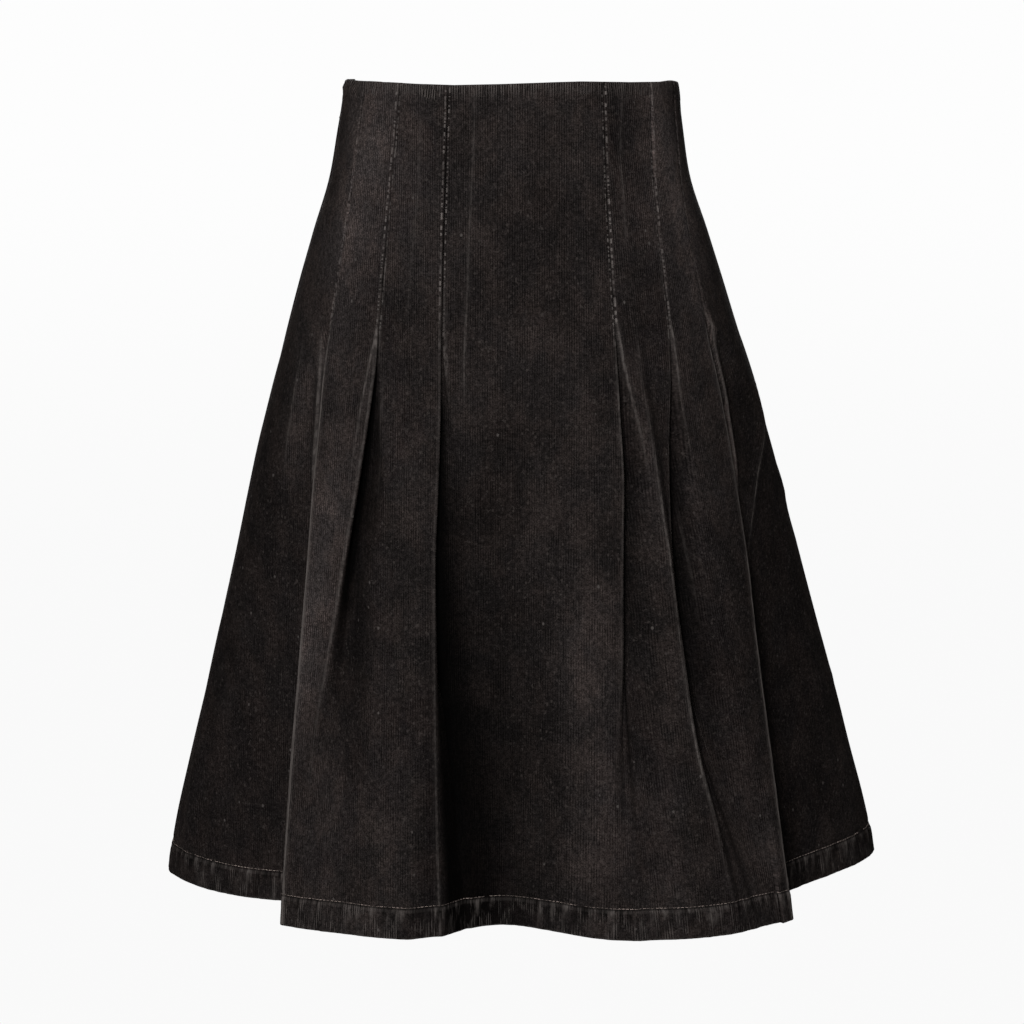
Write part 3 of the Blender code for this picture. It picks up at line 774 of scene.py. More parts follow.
def hem_relief(drop, puckers):
    """Height of the hem's band: its stitched groove, its puckers, its thickness."""
    band = float(ease((drop - HEM_LINE + 0.003) / 0.006))
    fade = 1.0 - 0.45 * float(ease((drop - HEM_LINE) / TURN_UP))
    groove = -HEM_GROOVE * float(bell(drop - HEM_LINE, 0.0022))
    return groove + band * (HEM_THICKER + HEM_PUCKER * fade * puckers)


def waist_relief(ring, section, along):
    """The turned band at the top edge, with its puckers and rounded corners."""
    arcs, drop = section["arcs"], ring.drop
    front = section["panel"] != BACK_PANEL
    band = float(1.0 - ease((drop - TOP_BAND + 0.001) / 0.002))
    height = BAND_RISE * band
    if drop < 3.0 * TOP_BAND:
        fade = math.exp(-(drop / (1.4 * TOP_BAND)) ** 2)
        left_side = ease((0.055 - arcs) / 0.03) * front
        slanted = cloth_noise(along - 0.9 * drop, drop, SLANTED_PUCKER)
        small = cloth_noise(along, drop, WAIST_PUCKER)
        height = height + fade * (WAIST_PUCKERS[0] * left_side * slanted + WAIST_PUCKERS[1] * small)
        for seam in (0.0, ring.right_seam):
            inwards = 1.0 if seam == 0.0 else -1.0
            by_seam = bump((arcs - seam - EAR_PLACE * inwards) / EAR_REACH)
            height = height + EAR_HEIGHT * by_seam * float(bump((drop - EAR_DROP) / EAR_HALF))
    return height


def wale_marks(ring, section, along):
    """Each front panel's place along the cloth at its line of wales."""
    xs = ring.x_at(section["arcs"])
    marks = []
    for panel, (start_x, lean) in enumerate(WALE_LINES):
        here = np.flatnonzero(section["panel"] == panel)
        line_x = start_x + lean * (ring.drop - RELEASE)
        kept_x = min(max(line_x, xs[here[0]]), xs[here[-1]])
        marks.append(np.interp(kept_x, xs[here], along[here]) + line_x - kept_x)
    return np.array(marks)


def cloth_along(ring, section):
    """Distance along the cloth.  A front panel's wales keep to straight lines."""
    flat = ring.place(section["arcs"], section["inward"])
    steps = np.linalg.norm(np.diff(flat, axis=0), axis=1)
    on_panel = section["panel"] != HIDDEN
    level = on_panel[:-1] & on_panel[1:]
    steps = np.where(level, np.abs(np.diff(section["arcs"])), steps)
    return np.concatenate(([0.0], np.cumsum(steps)))


def reference_marks():
    """The wale marks where the pleats are released, counted from the middle panel's."""
    ring = Ring(RELEASE)
    section = front_section(ring, 1)
    marks = wale_marks(ring, section, cloth_along(ring, section))
    return marks - marks[len(marks) // 2]


def wale_shift(ring, section, along):
    """How far each column's place along the cloth is moved to keep wales straight."""
    moves = wale_marks(ring, section, along) - WALE_PLACES
    panels = section["panel"].astype(int)
    known = panels != HIDDEN
    return np.interp(along, along[known], moves[panels[known]])


# ---------------------------------------------------------------- cloth

MARKS = ("along", "drop", "crest", "top", "low", "band", "edge_wear", "mate_wear", "pucker",
         "top_dash", "low_dash", "line_a", "line_b", "wear_a", "wear_b", "wash")
ATTRIBUTES = (
    ("cloth", ("along", "drop", "crest")),
    ("laps", ("top", "low", "band")),
    ("lap_wear", ("edge_wear", "mate_wear", "pucker")),
    ("dashes", ("top_dash", "low_dash", "wash")),
    ("lines", ("line_a", "line_b", "band")),
    ("line_wear", ("wear_a", "wear_b", "band")),
)


def patch_tone_and_shade(ring, arcs):
    """How much lighter or darker the patches paint the cloth here, painted shade in the middle panel's valley
    among them.
    """
    angle = ring.angle_at(arcs)
    wash = np.ones(len(arcs))
    for _, centre, middle, half_angle, half_drop, gain in TONE_AND_SHADE_PATCHES:
        part = bump(round_gap(angle, centre) / half_angle) * bump((ring.drop - middle) / half_drop)
        wash = wash * gain ** part
    return wash


def cloth_level(section_at, drop, fine):
    """Points and marks of one level of a panel's middle surface."""
    ring = Ring(drop)
    section = section_at(ring, fine)
    arcs, inward = section["arcs"], section["inward"]
    along = cloth_along(ring, section)
    if section["panel"][0] == BACK_PANEL:
        along = along - along[len(along) // 2]
    else:
        along = along - wale_shift(ring, section, along)
    angle = ring.angle_at(arcs)
    creases, lines, wears = crease_relief(ring, section)
    broad = PUFF_HEIGHTS[0] * cloth_noise(along, drop, BROAD_PUFF)
    small = PUFF_HEIGHTS[1] * cloth_noise(along, drop, SMALL_PUFF)
    puff = float(ease(drop / PUFF_START)) * (broad + small)
    puckers = hem_puckers(drop, along)
    waist = waist_relief(ring, section, along)
    relief = creases + puff + hem_relief(drop, puckers) + waist
    plan = ring.place(arcs, inward - flute_height(drop, angle) - relief)
    points = np.column_stack((plan, height_at(drop, angle)))
    band = float(ease((drop - HEM_LINE) / 0.0015))
    crest = (creases + 2.0 * puff + 1.5 * waist) / CREST_SCALE
    # the wash mark: the folds' painted shade and kept dye, times the patches' tone and painted shade
    marks = dict(section, along=along, drop=drop, crest=crest, band=band, pucker=puckers,
                 wash=section["wash"] * patch_tone_and_shade(ring, arcs), line_a=lines[0], line_b=lines[1],
                 wear_a=wears[0], wear_b=wears[1])
    return points, {name: np.broadcast_to(marks[name], along.shape) for name in MARKS}


def hidden_marks(marks, drop):
    """Marks of a turned-in layer, without wear or stitching."""
    rests = dict(PLAIN, drop=drop, wear_a=0.0, wear_b=0.0)
    return {name: np.broadcast_to(rests.get(name, values), values.shape) for name, values in marks.items()}


def moved_in(points, distance):
    """A section's points, moved in by a distance along the cloth's own normal."""
    plan = points[:, :2]
    lines = np.diff(plan, axis=0)
    lines = lines / np.maximum(np.linalg.norm(lines, axis=1)[:, None], 1e-7)
    normals = np.column_stack((-lines[:, 1], lines[:, 0]))
    middle = np.vstack((normals[:1], normals)) + np.vstack((normals, normals[-1:]))
    middle = middle / np.maximum(np.linalg.norm(middle, axis=1)[:, None], 1e-6)
    moved = points.copy()
    moved[:, :2] = plan + distance * middle
    return moved


def turned_rows(points, marks, direction):
    """Rows of a half round that turns a panel's edge inwards, outermost first."""
    rows = []
    for turn in (0.25, 0.5, 0.75):
        row = moved_in(points, 0.5 * LAYER * (1.0 - math.cos(math.pi * turn)))
        row[:, 2] += direction * 0.5 * LAYER * math.sin(math.pi * turn)
        rows.append((row, hidden_marks(marks, marks["drop"][0] - direction * LAYER * turn)))
    return rows


def inner_rows(levels, picks, direction):
    """Rows of the turned-in layer, behind the levels that are picked."""
    return [(moved_in(levels[pick][0], LAYER),
             hidden_marks(levels[pick][1], levels[0][1]["drop"][0] - direction * (LAYER + 0.003 * order)))
            for order, pick in enumerate(picks)]


def build_panel(section_at, top_picks):
    """A panel's rows, coarse down to the hem and fine along it."""
    drops = [start + (end - start) * index / count
             for start, end, count in ROW_SPANS for index in range(count)]
    upper = [cloth_level(section_at, drop, 1) for drop in (*drops, FINE_START)]
    lower = [cloth_level(section_at, drop, 2) for drop in HEM_ROWS]
    top = turned_rows(*upper[0], 1.0) + inner_rows(upper, top_picks, 1.0)
    bottom = turned_rows(*lower[-1], -1.0) + inner_rows(lower[::-1], HEM_PICKS, -1.0)
    return top[::-1] + upper, lower + bottom


def quads(above, below, count):
    """Faces between two rows, by the number of each row's first point."""
    return [(above + column, below + column, below + column + 1, above + column + 1)
            for column in range(count)]


def tube_faces(first, rings, sides):
    """Faces round a tube, from its first point on."""
    faces = []
    for start in range(first, first + (rings - 1) * sides, sides):
        for side in range(sides):
            here, after = start + side, start + (side + 1) % sides
            faces.append((here, after, after + sides, here + sides))
    return faces


def panel_faces(upper, lower):
    """Quads between rows, with one row of five-sided faces where columns double."""
    sizes = [len(points) for points, _ in upper + lower]
    starts = np.concatenate(([0], np.cumsum(sizes)))
    faces = []
    for row in range(len(sizes) - 1):
        above, below = int(starts[row]), int(starts[row + 1])
        if row == len(upper) - 1:
            faces += [(above + column, below + 2 * column, below + 2 * column + 1, below + 2 * column + 2,
                       above + column + 1) for column in range(sizes[row] - 1)]
        else:
            faces += quads(above, below, sizes[row] - 1)
    return faces


def add_object(name, data):
    """An object with this data, in the scene."""
    added = bpy.data.objects.new(name, data)
    bpy.context.scene.collection.objects.link(added)
    return added


def new_piece(name, vertices, faces, material):
    """A smooth mesh object in the scene."""
    mesh = bpy.data.meshes.new(name)
    mesh.from_pydata(vertices, [], faces)
    mesh.materials.append(material)
    mesh.shade_smooth()
    return add_object(name, mesh)


def store_vectors(piece, attribute, values):
    store = piece.data.attributes.new(attribute, "FLOAT_VECTOR", "POINT")
    store.data.foreach_set("vector", values.ravel())


def thicken(piece, wall):
    shell = piece.modifiers.new("wall", "SOLIDIFY")
    shell.thickness = wall
    shell.offset = 0.0


def cloth_object(name, upper, lower, material):
    """The panel's shell, with its cloth places and marks as attributes."""
    rows = upper + lower
    points = np.vstack([row for row, _ in rows])
    piece = new_piece(name, points.tolist(), panel_faces(upper, lower), material)
    marks = {mark: np.concatenate([row_marks[mark] for _, row_marks in rows]) for mark in MARKS}
    for attribute, names in ATTRIBUTES:
        store_vectors(piece, attribute, np.column_stack([marks[mark] for mark in names]))
    thicken(piece, WALL)
    return piece


# ---------------------------------------------------------------- materials


class Nodes:
    """Short ways to write a shader's nodes."""

    def __init__(self, owner, shader="Principled BSDF"):
        owner.use_nodes = True
        self.owner = owner
        self.tree = owner.node_tree
        self.shader = self.tree.nodes[shader]
        self.colour = None

    def add(self, kind, **settings):
        node = self.tree.nodes.new(kind)
        for key, value in settings.items():
            setattr(node, key, value)
        return node

    def put(self, socket, value):
        if isinstance(value, bpy.types.NodeSocket):
            self.tree.links.new(value, socket)
        else:
            socket.default_value = value

    def fix(self, node, values):
        """Constant values, on the node's own sockets."""
        for socket, value in values.items():
            node.inputs[socket].default_value = value

    def fill(self, kind, values, **settings):
        """A new node with its inputs linked or set."""
        node = self.add(kind, **settings)
        for socket, value in values.items():
            self.put(node.inputs[socket], value)
        return node

    def math(self, operation, first, second=0.0, clamp=False):
        return self.fill("ShaderNodeMath", {0: first, 1: second}, operation=operation,
                         use_clamp=clamp).outputs[0]

    def total(self, first, *others):
        for other in others:
            first = self.math("ADD", first, other)
        return first

    def times(self, first, *others):
        for other in others:
            first = self.math("MULTIPLY", first, other)
        return first

    def split(self, vector):
        return tuple(self.fill("ShaderNodeSeparateXYZ", {0: vector}).outputs)

    def vector(self, attribute):
        """The three numbers of a point attribute."""
        source = self.add("ShaderNodeAttribute", attribute_name=attribute, attribute_type="GEOMETRY")
        return self.split(source.outputs["Vector"])

    def ramp(self, value, low, high, out_low=0.0, out_high=1.0):
        values = {"Value": value, "From Min": low, "From Max": high, "To Min": out_low, "To Max": out_high}
        return self.fill("ShaderNodeMapRange", values, interpolation_type="SMOOTHSTEP").outputs["Result"]

    def place(self, along, down, scale_along, scale_down, seed):
        """A vector for a noise: places in the cloth over the sizes of its grains."""
        values = {0: self.math("DIVIDE", along, scale_along), 1: self.math("DIVIDE", down, scale_down),
                  2: seed}
        return self.fill("ShaderNodeCombineXYZ", values).outputs[0]

    def noise(self, vector, detail=2.0, rough=0.5):
        values = {"Vector": vector, "Scale": 1.0, "Detail": detail, "Roughness": rough}
        return self.fill("ShaderNodeTexNoise", values, noise_dimensions="3D").outputs[0]

    def mix(self, factor, first, second):
        values = {0: factor}
        for socket, value in ((6, first), (7, second)):
            values[socket] = value if isinstance(value, bpy.types.NodeSocket) else (*value, 1.0)
        return self.fill("ShaderNodeMix", values, data_type="RGBA", blend_type="MIX").outputs[2]

    def cover(self, tint, *masks):
        """Lays a tint over the colour so far, as strongly as the masks' product."""
        self.colour = self.mix(self.times(*masks), self.colour, tint)

    def scaled(self, colour, factor):
        values = {0: colour, "Scale": factor}
        return self.fill("ShaderNodeVectorMath", values, operation="SCALE").outputs[0]

    def line(self, distance, centre, half_width):
        """1 along a line at this distance, 0 beyond it."""
        away = self.math("ABSOLUTE", self.math("SUBTRACT", distance, centre))
        return self.ramp(away, 0.6 * half_width, 1.7 * half_width, 1.0, 0.0)

    def specks(self, along, down, size_along, size_down, seed, share, reach):
        """Dots at a share of the cells of a loose grid."""
        cells = {"Vector": self.place(along, down, size_along, size_down, seed), "Scale": 1.0}
        dots = self.fill("ShaderNodeTexVoronoi", cells, feature="F1", voronoi_dimensions="3D")
        channel = self.fill("ShaderNodeSeparateColor", {0: dots.outputs["Color"]})
        chosen = self.math("LESS_THAN", channel.outputs[0], share)
        return self.times(self.ramp(dots.outputs["Distance"], reach, 2.0 * reach, 1.0, 0.0), chosen)

    def relief(self, height, strength, distance):
        values = {"Height": height, "Strength": strength, "Distance": distance}
        self.put(self.shader.inputs["Normal"], self.fill("ShaderNodeBump", values).outputs[0])


BROWN = (0.0200, 0.0157, 0.0145)
BLUISH = (0.0168, 0.0142, 0.0138)
LINT = (0.064, 0.054, 0.050)
PALE_LINT = (0.110, 0.098, 0.092)
# worn pile, also used for the painted highlight along the folds' edges
WORN_PILE_AND_HIGHLIGHT = (0.150, 0.132, 0.123)
DASH = (0.250, 0.222, 0.208)
# painted shade for the tucks' ditch and the hem's stitched groove
DITCH_SHADE = (0.0040, 0.0034, 0.0032)
# painted shade in the hollows of the hem's puckers
PUCKER_SHADE = (0.0045, 0.0038, 0.0036)
CASING_DARK = (0.0065, 0.0055, 0.0052)
CASING_PALE = (0.030, 0.026, 0.024)
CASING_THREAD = (0.10, 0.085, 0.075)
THREAD_DULL = (0.090, 0.073, 0.065)
THREAD_PALE = (0.330, 0.265, 0.235)


def corduroy():
    """Fine-wale corduroy: wales, stone wash, specks, worn edges and nap, with painted shade in the folds,
    ditches and puckers and painted highlights on the edges.
    """
    n = Nodes(bpy.data.materials.new("washed_corduroy"))
    along, down, crest = n.vector("cloth")
    top, low, band = n.vector("laps")
    edge_wear, mate_wear, pucker = n.vector("lap_wear")
    # washed carries the patches' tone and painted shade, times the painted shade and kept dye of the folds
    top_dash, low_dash, washed = n.vector("dashes")
    line_a, line_b, _ = n.vector("lines")
    wear_a, wear_b, _ = n.vector("line_wear")

    def grains(size_along, size_down, seed, detail=2.0, rough=0.5):
        return n.noise(n.place(along, down, size_along, size_down, seed), detail, rough)

    wobble = n.math("SUBTRACT", grains(0.020, 0.11, 2.0, 1.0), 0.5)
    wales = n.total(n.math("DIVIDE", along, WALE), n.times(wobble, 0.5))
    ridge = n.ramp(n.math("COSINE", n.times(wales, 2.0 * math.pi)), -0.9, 0.6)
    groups = n.total(grains(0.0075, 0.0170, 25.0), n.ramp(down, 0.0, 0.30, 0.07, 0.0))
    shown = n.ramp(groups, 0.45, 0.62, 0.26, 1.0)
    streaks = grains(0.0017, 0.016, 5.0, 3.0, 0.6)
    nap = grains(0.0009, 0.0011, 7.0, 1.0)
    grain = grains(0.0026, 0.0032, 9.0, 2.0, 0.6)
    wash = grains(0.016, 0.024, 11.0, 3.0, 0.60)
    clouds = grains(0.050, 0.070, 17.0)
    tints = grains(0.034, 0.046, 19.0, 3.0, 0.6)

    n.colour = n.mix(n.ramp(n.total(tints, wash), 0.80, 1.20), BLUISH, BROWN)
    light = n.ramp(wash, 0.32, 0.70, 0.82, 1.20)
    for field, *stops in ((clouds, 0.35, 0.65, 0.86, 1.16), (grain, 0.30, 0.72, 0.66, 1.42),
                          (streaks, 0.30, 0.72, 0.90, 1.14), (nap, 0.26, 0.76, 0.56, 1.54)):
        light = n.times(light, n.ramp(field, *stops))
    grooves = n.times(n.math("SUBTRACT", ridge, 0.62), shown, 0.70)
    # Painted lighter on raised relief and darker in its hollows, partly worn pile and partly painted light
    # and shade; washed brings in the patches and the folds' painted shade; lighter near the waist and towards
    # the hem.
    light = n.times(light, n.total(grooves, 1.0), n.ramp(crest, -1.0, 1.2, 0.84, 1.30), washed,
                    n.ramp(down, 0.0, 0.30, 1.16, 0.97), n.ramp(down, 0.40, HEM_DROP, 1.0, 1.16))
    n.colour = n.scaled(n.colour, light)

    # Lint: short curls along a noise's contours, flecks and dots
    curl_places = n.ramp(grains(0.0042, 0.0048, 39.0, 1.0), 0.60, 0.66)
    curls = n.times(n.line(grains(0.0050, 0.0056, 37.0), 0.5, 0.022), curl_places)
    # lint fades out where the cloth is painted darkest, in the folds' painted shade and kept dye
    faded = n.ramp(washed, 0.20, 0.90)
    n.cover(LINT, n.ramp(grains(0.0014, 0.0022, 45.0, 1.0), 0.66, 0.76), faded, 0.44)
    n.cover(LINT, curls, faded, 0.44)
    n.cover(LINT, n.specks(along, down, 0.0048, 0.0062, 21.0, 0.60, 0.11), faded, 0.50)
    n.cover(PALE_LINT, n.specks(along, down, 0.0120, 0.0150, 33.0, 0.36, 0.050), faded, 0.70)

    # The stitched tucks: painted shade in the ditch between two broken columns of worn pile
    n.cover(DITCH_SHADE, n.line(top, -0.0002, 0.0006), top_dash, 0.06)
    for distance, strength, centre, seed in ((top, top_dash, 0.0008, 41.0), (low, low_dash, 0.0025, 43.0)):
        broken = n.ramp(grains(0.030, 0.0028, seed, 1.0), 0.48, 0.56)
        worn = n.ramp(grains(0.060, 0.034, seed + 7.0), 0.34, 0.60, 0.30, 1.0)
        n.cover(DASH, n.line(distance, centre, 0.00044), strength, broken, worn, 0.60)

    # Worn edges and creases, with a painted highlight on the folds' edges.  An edge's line moves inwards
    # where it rolls over
    rub = n.ramp(streaks, 0.30, 0.62, 0.60, 1.0)
    frayed = n.ramp(grains(0.0030, 0.0060, 61.0, 2.0, 0.6), 0.40, 0.60, 0.10, 1.0)
    turn = n.ramp(down, 0.24, HEM_DROP, 0.0005, 0.0022)
    # a fold's edge: worn pile with a painted highlight
    edge = n.total(n.times(n.line(top, turn, 0.0008), 2.0), n.times(n.line(top, turn, 0.0024), 0.25))
    edges = n.times(edge, edge_wear, n.ramp(frayed, 0.1, 1.0, 0.50, 1.0))
    mates = n.times(mate_wear, frayed, 0.9)
    pinch = n.times(n.line(top, 0.0008, 0.0006), n.line(down, RELEASE + 0.003, 0.0050), frayed, 0.6)
    drawn, soft = [n.total(n.times(n.line(line_a, 0.0, width_a), wear_a),
                           n.times(n.line(line_b, 0.0, width_b), wear_b))
                   for width_a, width_b in ((0.0006, 0.0007), (0.0022, 0.0022))]
    drawn = n.total(n.times(drawn, n.ramp(frayed, 0.1, 1.0, 0.40, 1.0), 0.62), n.times(soft, 0.08))
    worn = n.math("ADD", n.total(edges, mates), n.total(drawn, pinch), clamp=True)
    n.cover(WORN_PILE_AND_HIGHLIGHT, worn, 0.85, rub)

    # The hem's band: light pile on its puckers, painted shade in their hollows and in the stitched groove,
    # and the comb of wales at the waist
    slanted = n.total(along, n.times(down, 0.06))
    fray = n.noise(n.place(slanted, down, 0.0030, 0.030, 53.0), 2.0, 0.6)
    length = grains(0.0050, 0.0110, 57.0, 2.0, 0.6)
    below = n.times(n.ramp(down, HEM_LINE, HEM_DROP - 0.006, 1.0, 0.20),
                    n.ramp(length, 0.36, 0.62, 0.30, 1.25))
    raised = n.times(n.ramp(pucker, 0.10, 0.60), n.ramp(fray, 0.38, 0.58, 0.20, 1.0))
    n.cover(WORN_PILE_AND_HIGHLIGHT, band, below, raised, 0.54)
    n.cover(WORN_PILE_AND_HIGHLIGHT, band, n.ramp(ridge, 0.4, 0.9), n.ramp(groups, 0.50, 0.60),
            n.ramp(streaks, 0.40, 0.60), 0.40)
    # painted shade in the puckers' hollows
    n.cover(PUCKER_SHADE, band, below, n.ramp(pucker, -0.4, 0.05, 0.88, 0.0))
    n.cover(WORN_PILE_AND_HIGHLIGHT, n.line(down, HEM_DROP + 0.0002, 0.0012), n.ramp(fray, 0.35, 0.65, 0.2, 1.0), 0.45)
    n.cover(WORN_PILE_AND_HIGHLIGHT, n.line(down, HEM_LINE + 0.0022, 0.0012), n.ramp(fray, 0.38, 0.62, 0.15, 1.0), 0.16)
    # painted shade along the hem's stitched groove
    n.cover(DITCH_SHADE, n.line(down, HEM_LINE + 0.0010, 0.0005), 0.55)
    n.cover(WORN_PILE_AND_HIGHLIGHT, n.ramp(down, 0.001, 0.012, 1.0, 0.0), n.ramp(ridge, 0.45, 0.95),
            n.ramp(streaks, 0.36, 0.56), 0.50)
    n.put(n.shader.inputs["Base Color"], n.scaled(n.colour, TONE))

    pile = n.total(n.times(nap, 0.80), n.times(grain, 0.40))
    n.relief(n.total(n.times(ridge, shown, 0.9), pile), 0.55, 0.0004)
    n.put(n.shader.inputs["Roughness"], n.ramp(streaks, 0.2, 0.8, 0.98, 0.84))
    n.fix(n.shader, {"Specular IOR Level": 0.03, "Sheen Weight": 0.03, "Sheen Roughness": 0.30,
                     "Sheen Tint": (0.60, 0.50, 0.46, 1.0)})
    return n.owner


def casing_cloth():
    """The plain cotton that carries the elastic, ribbed by its gathers."""
    n = Nodes(bpy.data.materials.new("casing_cloth"))
    along, down, _ = n.vector("cloth")
    weave = n.noise(n.place(along, down, 0.0007, 0.0007, 3.0), 2.0, 0.6)
    slubs = n.noise(n.place(along, down, 0.0016, 0.012, 6.0), 2.0, 0.5)
    n.colour = n.mix(n.times(weave, slubs, 1.6), CASING_DARK, CASING_PALE)
    for row_drop in CASING_SEWING:
        broken = n.ramp(n.noise(n.place(along, down, 0.0016, 0.5, 9.0), 0.0), 0.44, 0.50)
        n.cover(CASING_THREAD, n.line(down, row_drop, 0.00035), broken, 0.6)
    n.put(n.shader.inputs["Base Color"], n.colour)
    n.relief(weave, 0.5, 0.0003)
    n.fix(n.shader, {"Roughness": 0.95, "Specular IOR Level": 0.1})
    return n.owner


def thread_material():
    """Matt beige sewing thread, dulled here and there by the wash."""
    n = Nodes(bpy.data.materials.new("hem_thread"))
    place = n.add("ShaderNodeTexCoord").outputs["Object"]
    grain = n.fill("ShaderNodeTexNoise", {"Vector": place, "Scale": 160.0}).outputs[0]
    n.put(n.shader.inputs["Base Color"], n.mix(n.ramp(grain, 0.36, 0.64), THREAD_DULL, THREAD_PALE))
    n.fix(n.shader, {"Roughness": 0.85, "Specular IOR Level": 0.2})
    return n.owner


# ---------------------------------------------------------------- stitching

STITCH_PITCH = 0.0030
STITCH_LENGTH = 0.0028
STITCH_RADIUS = 0.00027
STITCH_SIDES = 6
STITCH_PROFILE = (
    # along, radius share
    (-1.0, 0.15), (-0.8, 0.7), (-0.3, 1.0), (0.3, 1.0), (0.8, 0.7), (1.0, 0.15),
)
STITCH_LIFT = 0.00003     # clear of the cloth's face
STITCH_ARCH = (0.0001, 0.0003)    # height of its middle, and how far its ends dip
STITCH_AHEAD = 0.0008     # how far ahead its direction is taken
WORN_AWAY = 0.45          # stitches go missing where the noise passes this


def stitch_row(name, level, material):
    """Stitches along a level's outer face, as one joined mesh."""
    middle_row = level[0]
    path = moved_in(middle_row, -(0.5 * WALL + STITCH_LIFT))
    outward = path - middle_row
    outward = outward / np.linalg.norm(outward, axis=1)[:, None]
    along = np.concatenate(([0.0], np.cumsum(np.linalg.norm(np.diff(path, axis=0), axis=1))))
    spokes = 2.0 * math.pi * np.arange(STITCH_SIDES) / STITCH_SIDES
    vertices, faces = [], []
    for centre in np.arange(STITCH_PITCH, along[-1] - STITCH_PITCH, STITCH_PITCH):
        if noise.noise((centre / 0.011, 0.0, 5.5)) > WORN_AWAY:
            continue
        middle, ahead = [np.array([np.interp(at, along, path[:, axis]) for axis in range(3)])
                         for at in (centre, centre + STITCH_AHEAD)]
        out = np.array([np.interp(centre, along, outward[:, axis]) for axis in range(3)])
        run = (ahead - middle) / max(np.linalg.norm(ahead - middle), 1e-7)
        side = np.cross(run, out)
        out = np.cross(side, run)
        first = len(vertices)
        for share, thick in STITCH_PROFILE:
            height = STITCH_ARCH[0] - STITCH_ARCH[1] * share * share
            heart = middle + run * share * 0.5 * STITCH_LENGTH + out * height
            for turn in spokes:
                spoke = math.cos(turn) * side + math.sin(turn) * out
                vertices.append(tuple(heart + STITCH_RADIUS * thick * spoke))
        rings = len(STITCH_PROFILE)
        faces += tube_faces(first, rings, STITCH_SIDES)
        faces.append(tuple(range(first, first + STITCH_SIDES))[::-1])
        last = first + (rings - 1) * STITCH_SIDES
        faces.append(tuple(range(last, last + STITCH_SIDES)))
    piece = new_piece(name, vertices, faces, material)
    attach(piece, "root")


# ---------------------------------------------------------------- the skirt


def cloth_piece(node, section_at, top_picks, material):
    """One cut panel of the skirt, in place of its solid."""
    piece = cloth_object(node + "_cloth", *build_panel(section_at, top_picks), material)
    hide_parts(node)
    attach(piece, "root")


def casing_piece(material):
    """The casing behind the back's gathers, itself gathered by its elastic."""
    rows, places = [], []
    columns = np.linspace(0.0, 1.0, CASING_COLUMNS)
    for drop in CASING_DROPS:
        ring = Ring(drop)
        length = ring.length - ring.right_seam - 2.0 * CASING_MARGIN
        arcs = ring.right_seam + CASING_MARGIN + length * columns
        waves = CASING_RIPPLES * columns + 0.6 * soft_noise(columns * 9.0, 0.0, 2.2)
        ripples = 0.5 + 0.5 * np.sin(2.0 * math.pi * waves)
        pinch = min(1.0, min(abs(drop - sewn) for sewn in CASING_SEWING) / 0.004)
        inward = CASING_INWARD + CASING_WAVE * ripples * (0.45 + 0.55 * pinch)
        rows.append(np.column_stack((ring.place(arcs, inward), np.full(len(arcs), -drop))))
        places.append(np.column_stack((arcs - arcs[0], np.full(len(arcs), drop), np.zeros(len(arcs)))))
    faces = []
    for start in range(0, (len(rows) - 1) * CASING_COLUMNS, CASING_COLUMNS):
        faces += quads(start, start + CASING_COLUMNS, CASING_COLUMNS - 1)
    piece = new_piece("back_casing_cloth", np.vstack(rows).tolist(), faces, material)
    store_vectors(piece, "cloth", np.vstack(places))
    thicken(piece, CASING_WALL)
    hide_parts("back_casing")
    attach(piece, "root")


WALE_PLACES = reference_marks()
pile = corduroy()
cloth_piece("front", front_section, (5, 3, 1), pile)
cloth_piece("back", back_section, (1,), pile)
casing_piece(casing_cloth())
thread = thread_material()
stitch_row("front_hem_stitches", cloth_level(front_section, HEM_LINE, 2), thread)
stitch_row("back_hem_stitches", cloth_level(back_section, HEM_LINE, 2), thread)
stitch_row("back_casing_stitches", cloth_level(back_section, CASING_SEWING[1], 2), thread)

# ---------------------------------------------------------------- stage, light, camera


FLOOR_DROP = 1.03
FLOOR_RADIUS = 3.2
RIM_RADIUS = 1.5
WALL_HEIGHT = 5.0
STAGE_SPOKES = 64
RIM_TURNS = np.linspace(0.15, 0.5 * math.pi, 10)
FLOOR_WHITE = (0.95,) * 3
WALL_WHITE = (0.982,) * 3
FADE_HEIGHTS = (0.02, 0.9)            # above the floor
LIGHTS = (
    # name, place, power
    ("key", (-0.45, -2.98, 0.75), 80.0),
    ("back_left", (-0.50, 2.95, 0.75), 50.0),
    ("back_right", (0.50, 2.95, 0.75), 50.0),
)
LIGHT_SIZE = 1.0
LIT_PLACE = Vector((0.0, 0.0, -0.3))
WORLD_FRONT, WORLD_BACK = 0.011, 0.050    # the soft light is weaker where the key stands
CAMERA_BACK = 2.4
CAMERA_PITCH = 7.52       # degrees down
FRAME_PIXELS = 1024
FOCAL_PIXELS = 3241.0


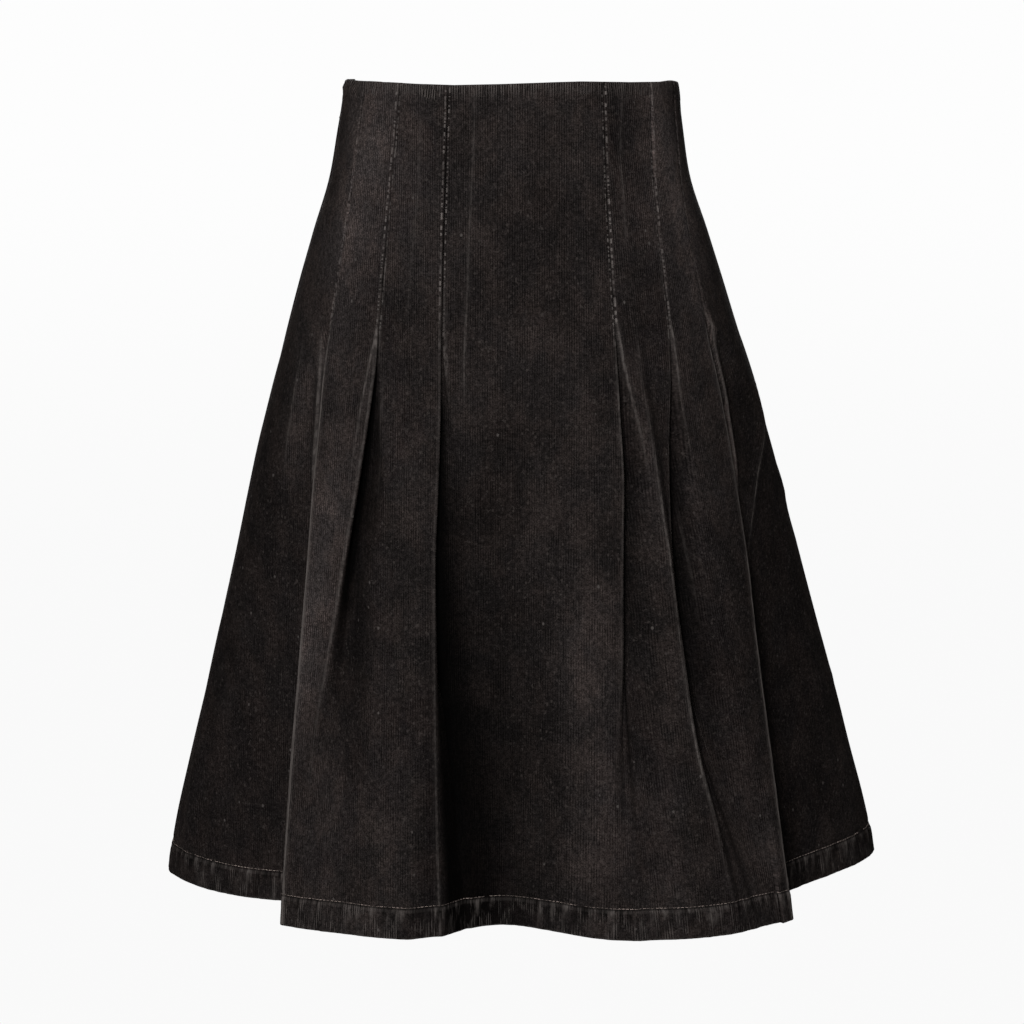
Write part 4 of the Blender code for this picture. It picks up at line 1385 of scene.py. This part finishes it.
def pale_white():
    """An even white that doesn't depend on the lamps, a little duller on the floor."""
    n = Nodes(bpy.data.materials.new("pale_stage"))
    height = n.split(n.add("ShaderNodeTexCoord").outputs["Object"])[2]
    level = n.ramp(height, *(above - FLOOR_DROP for above in FADE_HEIGHTS))
    n.put(n.shader.inputs["Emission Color"], n.mix(level, FLOOR_WHITE, WALL_WHITE))
    n.fix(n.shader, {"Base Color": (0.0, 0.0, 0.0, 1.0), "Specular IOR Level": 0.0, "Roughness": 1.0,
                     "Emission Strength": 1.0})
    return n.owner


def stage_floor():
    """A round pale floor whose rim curves up into a wall."""
    profile = [(FLOOR_RADIUS, 0.0)]
    profile += [(FLOOR_RADIUS + RIM_RADIUS * math.sin(turn), RIM_RADIUS * (1.0 - math.cos(turn)))
                for turn in RIM_TURNS]
    profile.append((FLOOR_RADIUS + RIM_RADIUS, WALL_HEIGHT))
    turns = [2 * math.pi * spoke / STAGE_SPOKES for spoke in range(STAGE_SPOKES)]
    vertices = [(radius * math.cos(turn), radius * math.sin(turn), height - FLOOR_DROP)
                for radius, height in profile for turn in turns]
    faces = [tuple(range(STAGE_SPOKES))] + tube_faces(0, len(profile), STAGE_SPOKES)
    floor = new_piece("floor", vertices, faces, pale_white())
    floor.visible_diffuse = False
    floor.visible_glossy = False
    floor.visible_shadow = False


stage_floor()
for name, place, power in LIGHTS:
    lamp = bpy.data.lights.new(name, "AREA")
    lamp.shape = "DISK"
    lamp.size = LIGHT_SIZE
    lamp.energy = power
    holder = add_object(name, lamp)
    holder.location = place
    holder.rotation_euler = (LIT_PLACE - Vector(place)).to_track_quat("-Z", "Y").to_euler()

world = bpy.data.worlds.new("studio")
bpy.context.scene.world = world
n = Nodes(world, "Background")
depth = n.split(n.add("ShaderNodeTexCoord").outputs["Generated"])[1]
n.put(n.shader.inputs["Strength"], n.ramp(depth, -0.9, 0.9, WORLD_FRONT, WORLD_BACK))
n.fix(n.shader, {"Color": (1.0, 1.0, 1.0, 1.0)})

camera_data = bpy.data.cameras.new("camera")
camera_data.sensor_width = 36.0
camera_data.lens = FOCAL_PIXELS / FRAME_PIXELS * camera_data.sensor_width
camera = add_object("camera", camera_data)
camera.location = (0.0, -CAMERA_BACK, 0.0)
camera.rotation_euler = (math.radians(90.0 - CAMERA_PITCH), 0.0, 0.0)
bpy.context.scene.camera = camera
bpy.context.scene.view_settings.view_transform = "Standard"

bpy.context.view_layer.update()
